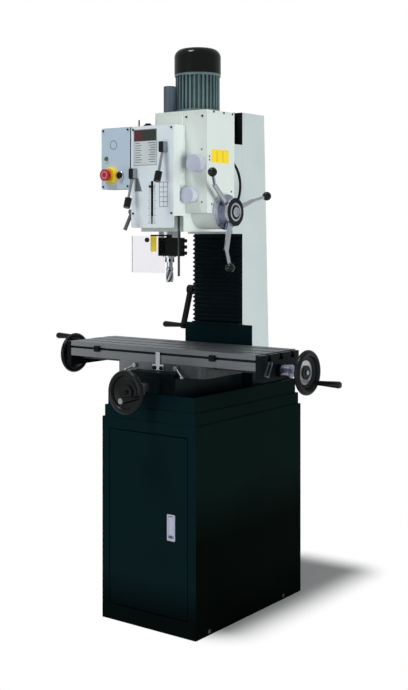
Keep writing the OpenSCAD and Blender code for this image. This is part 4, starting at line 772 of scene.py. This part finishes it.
@dataclass
class WheelTrim:
    """Scales on the dials of the three handwheels, and the bright flats of the table's wheels."""

    table_axis: Pair = BOX["x_handwheels"].mid.yz[:]
    cross_axis: Pair = BOX["y_handwheel"].mid.xz[:]
    flat_r: Pair = (23, 39.5)
    wheels_from: float = 400
    nut_y: float = -400
    dial_r: float = 22
    lines: int = 40
    line_l: Pair = (12, 7)
    line_half: float = 0.018
    right_start: float = 425
    left_start: float = -465
    cross_start: float = -362

    def build(self) -> None:
        """Brightens the flats round the hubs, blackens the cross screw's nut and makes the scales."""
        low, high = self.flat_r
        paint("x_handwheels", FACED_IRON, lambda c, n: n.x * c.x > self.wheels_from and low < math.hypot(
            c.y - self.table_axis[0], c.z - self.table_axis[1]) < high)
        paint("y_leadscrew", BLACK_OXIDE_AND_SHADE, lambda c, n: c.y < self.nut_y)
        for name, axis, spot, start, body in (
                ("right", Axis.X, self.table_axis, self.right_start, "x_screw"),
                ("left", Axis.X, self.table_axis, self.left_start, "x_screw"),
                ("front", Axis.Y, self.cross_axis, self.cross_start, "y_screw")):
            places = scale(self.lines, start, self.line_l)
            marks = Sketch().marks(axis, spot, self.dial_r, self.line_half, places)
            marks.piece(f"dial_marks_{name}", body, DARK_INK_AND_SHADE, "black_plastic")


@dataclass
class ColumnBellows:
    """Pleated cover of the column ways, drawn at rest; the real one folds as the head moves."""

    half_w: float = BOX["column_bellows"].high.x
    front_y: float = BOX["column_bellows"].low.y
    back_y: float = BOX["column_bellows"].high.y
    low_z: float = BOX["column_bellows"].low.z
    high_z: float = BOX["column_bellows"].high.z
    folds: int = 20
    cloth: float = 2.5
    steps: int = 6
    fullness: float = 0.75

    def build(self) -> None:
        """Makes the pleats with rounded folds, reaching from the stand up to the head."""
        pitch = (self.high_z - self.low_z) / self.folds
        sway = self.back_y - self.front_y - self.cloth
        w = self.half_w
        rings = []
        for i in range(self.folds * self.steps + 1):
            fold = i / self.steps
            wave = 0.5 + 0.5 * math.cos(FULL_TURN * fold)
            front = self.front_y + sway * wave ** self.fullness
            back = front + self.cloth
            z = self.low_z + fold * pitch
            rings.append([(-w, front, z), (-w, back, z), (w, back, z), (w, front, z)])
        cover = Sketch().skin(rings).piece("bellows_pleats", "", BELLOWS_CLOTH, "bellows_cloth", smooth=60)
        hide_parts("column_bellows")
        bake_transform(cover)


@dataclass
class HeadCable:
    """Captive cable behind the right corner of the gearbox: one arc between two glands."""

    x: float = 164
    wall_y: float = BOX["gearbox_housing"].high.y
    top_z: float = 1575
    low_z: float = 1405
    reach: float = 57
    radius: float = 4.5
    sides: int = 20
    half_steps: int = 20
    gland: Section = ((4.5, 0), (8, 0), (8, 4), (7.4, 5), (7.4, 8), (4.5, 8))
    gland_sides: int = 24

    def build(self) -> None:
        """Makes the sheath and its two glands."""
        gland_l = self.gland[-1][1]
        half = (self.top_z - self.low_z) / 2
        bend = (half ** 2 + self.reach ** 2) / (2 * self.reach)
        middle = (self.top_z + self.low_z) / 2
        centre = self.wall_y + gland_l / 2 + self.reach - bend
        turn = math.asin(half / bend)
        turns = [turn * (1 - i / self.half_steps) for i in range(2 * self.half_steps + 1)]
        route = [(self.x, centre + bend * math.cos(a), middle + bend * math.sin(a)) for a in turns]
        sketch = Sketch().tube(route, self.radius, self.sides)
        for z in (self.top_z, self.low_z):
            sketch.turned(self.gland, Axis.Y, (self.x, z), self.wall_y, 1, self.gland_sides)
        cable = sketch.piece("head_cable_sheath", "head", CABLE_SHEATH, "cable_rubber", smooth=40)
        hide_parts("head_cable")


@dataclass
class FeedTrim:
    """Graduated ring and stepped face of the quill feed hub."""

    axis: Pair = BOX["feed_hub"].mid.yz[:]
    face_x: float = BOX["feed_hub"].high.x
    ring_x: Pair = (192, 206)
    ring_r: float = 59.5
    slack: float = 0.5
    face_ring: Section = ((24, 0), (31, 0), (31, 1.5), (29, 3), (26, 3), (24, 1.5))
    cap: Section = ((0.5, 0), (17, 0), (17, 4), (14, 7), (9, 7), (8, 4), (0.5, 4))
    lines: int = 60
    line_l: Pair = (-9, -5)
    line_half: float = 0.009
    line_margin: float = 1

    def build(self) -> None:
        """Finishes the hub's face and ring, and makes its cap and the scale on the ring."""
        ring_low, ring_high = self.ring_x[0] - self.slack, self.ring_x[1] + self.slack
        # the hub's face: a dark reflection of the room, painted into the colour
        paint("feed_hub", NICKEL_DARK_REFLECTION, lambda c, n: c.x > self.face_x - self.slack)
        paint("feed_hub", TURNED_STEEL_X, lambda c, n: ring_low < c.x < ring_high)
        for name, section, sides in (("hub_face_ring", self.face_ring, FINE_SIDES),
                                     ("hub_cap", self.cap, SIDES)):
            sketch = Sketch().turned(section, Axis.X, self.axis, self.face_x, 1, sides)
            sketch.piece(name, "feed", CHROME, "chrome_plate", smooth=30)
        places = scale(self.lines, self.ring_x[1] - self.line_margin, self.line_l)
        marks = Sketch().marks(Axis.X, self.axis, self.ring_r, self.line_half, places)
        marks.piece("feed_marks", "feed", DARK_INK_AND_SHADE, "black_plastic")


@dataclass
class EndMill:
    """Helical end mill, and dark strips of painted shade for the spanner slots of the collet nut above it.
    """

    axis: Pair = BOX["end_mill"].mid.xy[:]
    low_z: float = BOX["end_mill"].low.z
    high_z: float = BOX["end_mill"].high.z
    radius: float = BOX["end_mill"].high.x
    sides: int = 64
    steps: int = 40
    flutes: int = 4
    flute_l: float = 46
    flute_depth: float = 0.36
    flute_share: float = 0.72
    hollow: float = 0.8
    run_out: float = 12
    twist: float = 120
    neck: float = 3
    neck_slope: float = 0.5
    valley: float = 0.76
    nut_r: float = 16
    nut_slots: int = 6
    nut_turn: float = -52
    slot_rise: Pair = (1, 12)
    slot_strips: int = 4
    strip_w: float = 0.12

    def build(self) -> None:
        """Makes the cutter and paints shade into its flutes, then the dark strips for the slots of the nut.
        """
        rings = [self._ring((self.high_z - self.low_z) * i / self.steps) for i in range(self.steps + 1)]
        mill = Sketch().skin(rings).piece("end_mill_flutes", "spindle_group", CUTTER_STEEL, "bright_steel",
                                          smooth=35)
        # the flutes: painted shade
        paint(mill, FLUTE_SHADE_STEEL, lambda c, n: c.z < self.low_z + self.flute_l and math.hypot(
            c.x - self.axis[0], c.y - self.axis[1]) < self.valley * self.radius)
        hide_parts("end_mill")
        self._nut_slots()

    def _ring(self, rise: float) -> list[Point]:
        """Works out the cutter's outline at one height.

        Args:
            rise: Height over the tip.

        Returns:
            Points round it.
        """
        left = (self.flute_l + self.run_out / 2 - rise) / self.run_out
        depth = self.flute_depth * max(0.0, min(1.0, left))
        body = self.radius - max(0.0, min(self.neck, self.neck_slope * (rise - self.flute_l)))
        lead = math.radians(self.twist) * rise / self.flute_l
        ring = []
        for k in range(self.sides):
            a = FULL_TURN * k / self.sides
            tooth = ((a - lead) * self.flutes / FULL_TURN) % 1.0
            scoop = math.sin(math.pi * min(1.0, tooth / self.flute_share)) ** self.hollow
            r = body * (1 - depth * scoop)
            ring.append((self.axis[0] + r * math.cos(a), self.axis[1] + r * math.sin(a), self.low_z + rise))
        return ring

    def _nut_slots(self) -> None:
        """Makes each slot of narrow dark strips, which follow the round of the nut: painted shade where a
        slot lies.
        """
        ends = (self.high_z + self.slot_rise[0], self.high_z + self.slot_rise[1])
        places = []
        for k in range(self.nut_slots):
            middle = FULL_TURN * k / self.nut_slots + math.radians(self.nut_turn)
            for i in range(self.slot_strips):
                places.append((middle + (i - (self.slot_strips - 1) / 2) * self.strip_w, ends))
        slots = Sketch().marks(Axis.Z, self.axis, self.nut_r, self.strip_w / 2, places)
        slots.piece("nut_slots", "spindle_group", BLACK_OXIDE_AND_SHADE, "black_plastic")


@dataclass
class PlainLabels:
    """Bare coloured labels on the gearbox and the guard, and the knob that holds the guard's sheet."""

    film: float = 0.3
    side_x: float = BOX["gearbox_housing"].high.x
    side_y: Pair = (-212, -111)
    side_z: Pair = (1563, 1607)
    side_corner: float = 5
    line_y: Pair = (-178.3, -144.7)
    line_half: float = 0.6
    line_margin: float = 3
    guard_y: float = BOX["guard_shield"].low.y
    guard_x: Pair = (-31, -5)
    guard_z: Pair = (1263, 1316)
    knob_at: Pair = (-41, 1303)
    knob: Section = ((0.5, 0), (4, 0), (4, 3), (8, 4), (8, 10), (6, 12), (0.5, 12))
    knob_sides: int = 32

    def build(self) -> None:
        """Makes the two labels, the lines on one of them and the knob."""
        x, y, film = self.side_x, self.guard_y, self.film
        side = Sketch().sheet(self.side_y, self.side_z, (x, x + film), Axis.X, self.side_corner)
        side.piece("side_label", "head", YELLOW_PLASTIC, "red_plastic")
        lines = Sketch()
        line_z = (self.side_z[0] + self.line_margin, self.side_z[1] - self.line_margin)
        for middle in self.line_y:
            lines.box((x + film, x + 2 * film), (middle - self.line_half, middle + self.line_half), line_z)
        lines.piece("side_label_lines", "head", DARK_INK_AND_SHADE, "black_plastic")
        guard = Sketch().sheet(self.guard_x, self.guard_z, (y - film, y), Axis.Y)
        guard.piece("guard_label", "guard", YELLOW_PLASTIC, "red_plastic")
        knob = Sketch().turned(self.knob, Axis.Y, self.knob_at, y, -1, self.knob_sides)
        knob.piece("guard_knob", "guard", BLACK_PHENOLIC, "black_plastic", smooth=40)


@dataclass
class FloorTabs:
    """Bright tabs in the notches over the stand's floor bolts."""

    side_x: float = BOX["cabinet"].high.x
    at_y: Pair = (-248, 206)
    half_w: float = 7
    z: Pair = (6, 18)
    thick: float = 2
    corner: float = 2.5

    def build(self) -> None:
        """Makes the four tabs as one piece."""
        sketch = Sketch()
        for side in (-1, 1):
            depth = (side * (self.side_x - self.thick), side * self.side_x)
            for y in self.at_y:
                sketch.sheet((y - self.half_w, y + self.half_w), self.z, depth, Axis.X, self.corner)
        sketch.piece("floor_tabs", "stand", DULL_STEEL, "bright_steel")


@dataclass
class SmallScrews:
    """Small button-head screws on the gearbox that hold nothing which moves."""

    head: Section = ((0.3, 0), (3.2, 0), (3.2, 0.64), (2.4, 1.36), (1.44, 1.6), (1.28, 0.64), (0.3, 0.64))
    head_sides: int = 16
    side_x: float = BOX["gearbox_housing"].high.x
    side_at: Section = ((-221, 1582), (-221, 1571), (-95, 1468), (-208, 1424), (-198, 1418))
    front_y: float = BOX["gearbox_lid"].low.y
    front_at: Section = ((161, 1606), (161, 1430))

    def build(self) -> None:
        """Makes all of them as one piece."""
        sketch = Sketch()
        for axis, face, way, places in ((Axis.X, self.side_x, 1, self.side_at),
                                        (Axis.Y, self.front_y, -1, self.front_at)):
            for spot in places:
                sketch.turned(self.head, axis, spot, face, way, self.head_sides)
        sketch.piece("small_screws", "head", DARK_STEEL, "bright_steel", smooth=40)


@dataclass(frozen=True)
class Lamp:
    """One soft square lamp, in metres and watts."""

    name: str
    at: Point
    to: Point
    size: float
    watts: float
    mirrored: bool = True

    def hang(self) -> None:
        """Hangs the lamp. One that isn't mirrored doesn't show in shiny surfaces."""
        data = bpy.data.lights.new(self.name, "AREA")
        data.size = self.size
        data.energy = self.watts
        lamp = bpy.data.objects.new(self.name, data)
        lamp.location = self.at
        lamp.visible_glossy = self.mirrored
        lamp.rotation_euler = (Vector(self.to) - Vector(self.at)).to_track_quat("-Z", "Y").to_euler()
        bpy.context.collection.objects.link(lamp)


@dataclass
class Studio:
    """Pale floor, soft light and the camera of the photograph, in metres and pixels."""

    camera_at: Point = (2.3904, -3.2391, 1.3333)
    yaw: float = 36.475
    sensor_mm: float = 36
    focal_px: float = 1123.19
    frame_h: float = 690
    horizon: float = 231.04
    lamps: tuple[Lamp, ...] = (
        Lamp("key_light", (-1, -3.2, 7.8), (0, 0, 0.6), 1.8, 265),
        Lamp("right_fill", (3.9, -0.7, 0.95), (0, 0, 1.1), 2.4, 142, mirrored=False),
        Lamp("front_fill", (-0.6, -4.2, 1), (0, 0, 1.1), 2.4, 42),
    )
    room_light: float = 0.2
    room_tint: tuple[float, ...] = (0.93, 0.98, 1, 1)
    room_sheen: float = 0.55
    sheen_tint: tuple[float, ...] = (0.96, 0.98, 1, 1)
    floor_half: float = 14
    floor_drop: float = 0.0005
    floor_tone: Pair = (0.6, 0.63)
    floor_bounce: float = 0.3
    floor_sheen: float = 0.6
    speck_scale: float = 3
    shadow_at: Point = (0.1, 0.235, 0)
    shadow_half: Point = (0.1, 0.385, 0)
    shadow_fade: float = 0.2

    def build(self) -> None:
        """Sets the camera, the light and the floor."""
        self._camera()
        self._world()
        self._floor()
        for lamp in self.lamps:
            lamp.hang()

    def _camera(self) -> None:
        """Places the camera with the fitted lens and shift."""
        data = bpy.data.cameras.new("photo_camera")
        data.sensor_width = self.sensor_mm
        data.lens = self.sensor_mm * self.focal_px / self.frame_h
        data.shift_y = (self.horizon - self.frame_h / 2) / self.frame_h
        cam = bpy.data.objects.new("photo_camera", data)
        cam.location = self.camera_at
        cam.rotation_euler = (math.pi / 2, 0, math.radians(self.yaw))
        bpy.context.collection.objects.link(cam)
        bpy.context.scene.camera = cam

    def _world(self) -> None:
        """Lights softly, shows white to the eye and through the clear sheet, and a pale sheen to metal."""
        world = bpy.data.worlds.new("studio")
        bpy.context.scene.world = world
        world.use_nodes = True
        tree = world.node_tree
        tree.nodes.clear()
        path = add_node(tree, "LightPath")
        seen = add_node(tree, "Math", {0: path["Is Camera Ray"], 1: path["Is Transmission Ray"]},
                        operation="MAXIMUM")[0]
        light = add_node(tree, "Background", {"Color": self.room_tint, "Strength": self.room_light})
        sheen = add_node(tree, "Background", {"Color": self.sheen_tint, "Strength": self.room_sheen})
        white = add_node(tree, "Background", {"Color": WHITE, "Strength": 1.0})
        soft = add_node(tree, "MixShader", {0: path["Is Glossy Ray"], 1: light[0], 2: sheen[0]})
        mix = add_node(tree, "MixShader", {0: seen, 1: soft[0], 2: white[0]})
        add_node(tree, "OutputWorld", {"Surface": mix[0]})

    def _floor(self) -> None:
        """Lays a floor that is matt and grey where the machine's shadow falls, deepening it with painted
        shade, and white around it.
        """
        bm = bmesh.new()
        bmesh.ops.create_grid(bm, x_segments=1, y_segments=1, size=self.floor_half)
        mesh = bpy.data.meshes.new("floor")
        bm.to_mesh(mesh)
        bm.free()
        floor = bpy.data.objects.new("floor", mesh)
        floor.location.z = -self.floor_drop
        bpy.context.collection.objects.link(floor)
        mat = bpy.data.materials.new("white_floor")
        mesh.materials.append(mat)
        mat.use_nodes = True
        tree = mat.node_tree
        tree.nodes.clear()
        place = add_node(tree, "TexCoord")["Object"]
        speck = add_node(tree, "TexNoise", {"Vector": place, "Scale": self.speck_scale})["Fac"]
        path = add_node(tree, "LightPath")
        # grey to the eye, which deepens the shadow as painted shade, and greyer still as a light for the
        # machine
        tone = add_node(tree, "MapRange", {
            "Value": speck, "To Min": self.floor_tone[0], "To Max": self.floor_tone[1]})["Result"]
        shade = add_node(tree, "MapRange", {
            "Value": path["Is Camera Ray"], "To Min": self.floor_bounce, "To Max": tone})["Result"]
        matt = add_node(tree, "BsdfDiffuse", {"Color": shade})
        white = add_node(tree, "Emission", {"Color": WHITE, "Strength": 1.0})
        # how far a point lies outside the patch that keeps the shadow
        spot = place
        for operation, other in (("SUBTRACT", self.shadow_at), ("ABSOLUTE", None),
                                 ("SUBTRACT", self.shadow_half), ("MAXIMUM", (0.0, 0.0, 0.0))):
            inputs = {0: spot} if other is None else {0: spot, 1: other}
            spot = add_node(tree, "VectorMath", inputs, operation=operation)[0]
        reach = add_node(tree, "VectorMath", {0: spot}, operation="LENGTH")["Value"]
        away = add_node(tree, "MapRange", {"Value": reach, "From Max": self.shadow_fade},
                        interpolation_type="SMOOTHSTEP")["Result"]
        # metal sees the bright floor of a studio too, a little less of it
        sheen = add_node(tree, "Math", {0: path["Is Glossy Ray"], 1: self.floor_sheen},
                         operation="MULTIPLY")[0]
        seen = add_node(tree, "Math", {0: path["Is Camera Ray"], 1: sheen}, operation="MAXIMUM")[0]
        fade = add_node(tree, "Math", {0: away, 1: seen}, operation="MULTIPLY")[0]
        mix = add_node(tree, "MixShader", {0: fade, 1: matt[0], 2: white[0]})
        add_node(tree, "OutputMaterial", {"Surface": mix[0]})


def main() -> None:
    """Builds the stage and dresses the machine."""
    logging.basicConfig(level=logging.INFO)
    bpy.context.scene.view_settings.view_transform = "Standard"
    Studio().build()
    HeadCable().build()
    dress_nodes()
    for part in (FaceDetails(), ColumnBellows(), FrontPanel(), ButtonCollars(), WheelTrim(), FeedTrim(),
                 EndMill(), PlainLabels(), FloorTabs(), SmallScrews()):
        part.build()


if __name__ == "__main__":
    main()
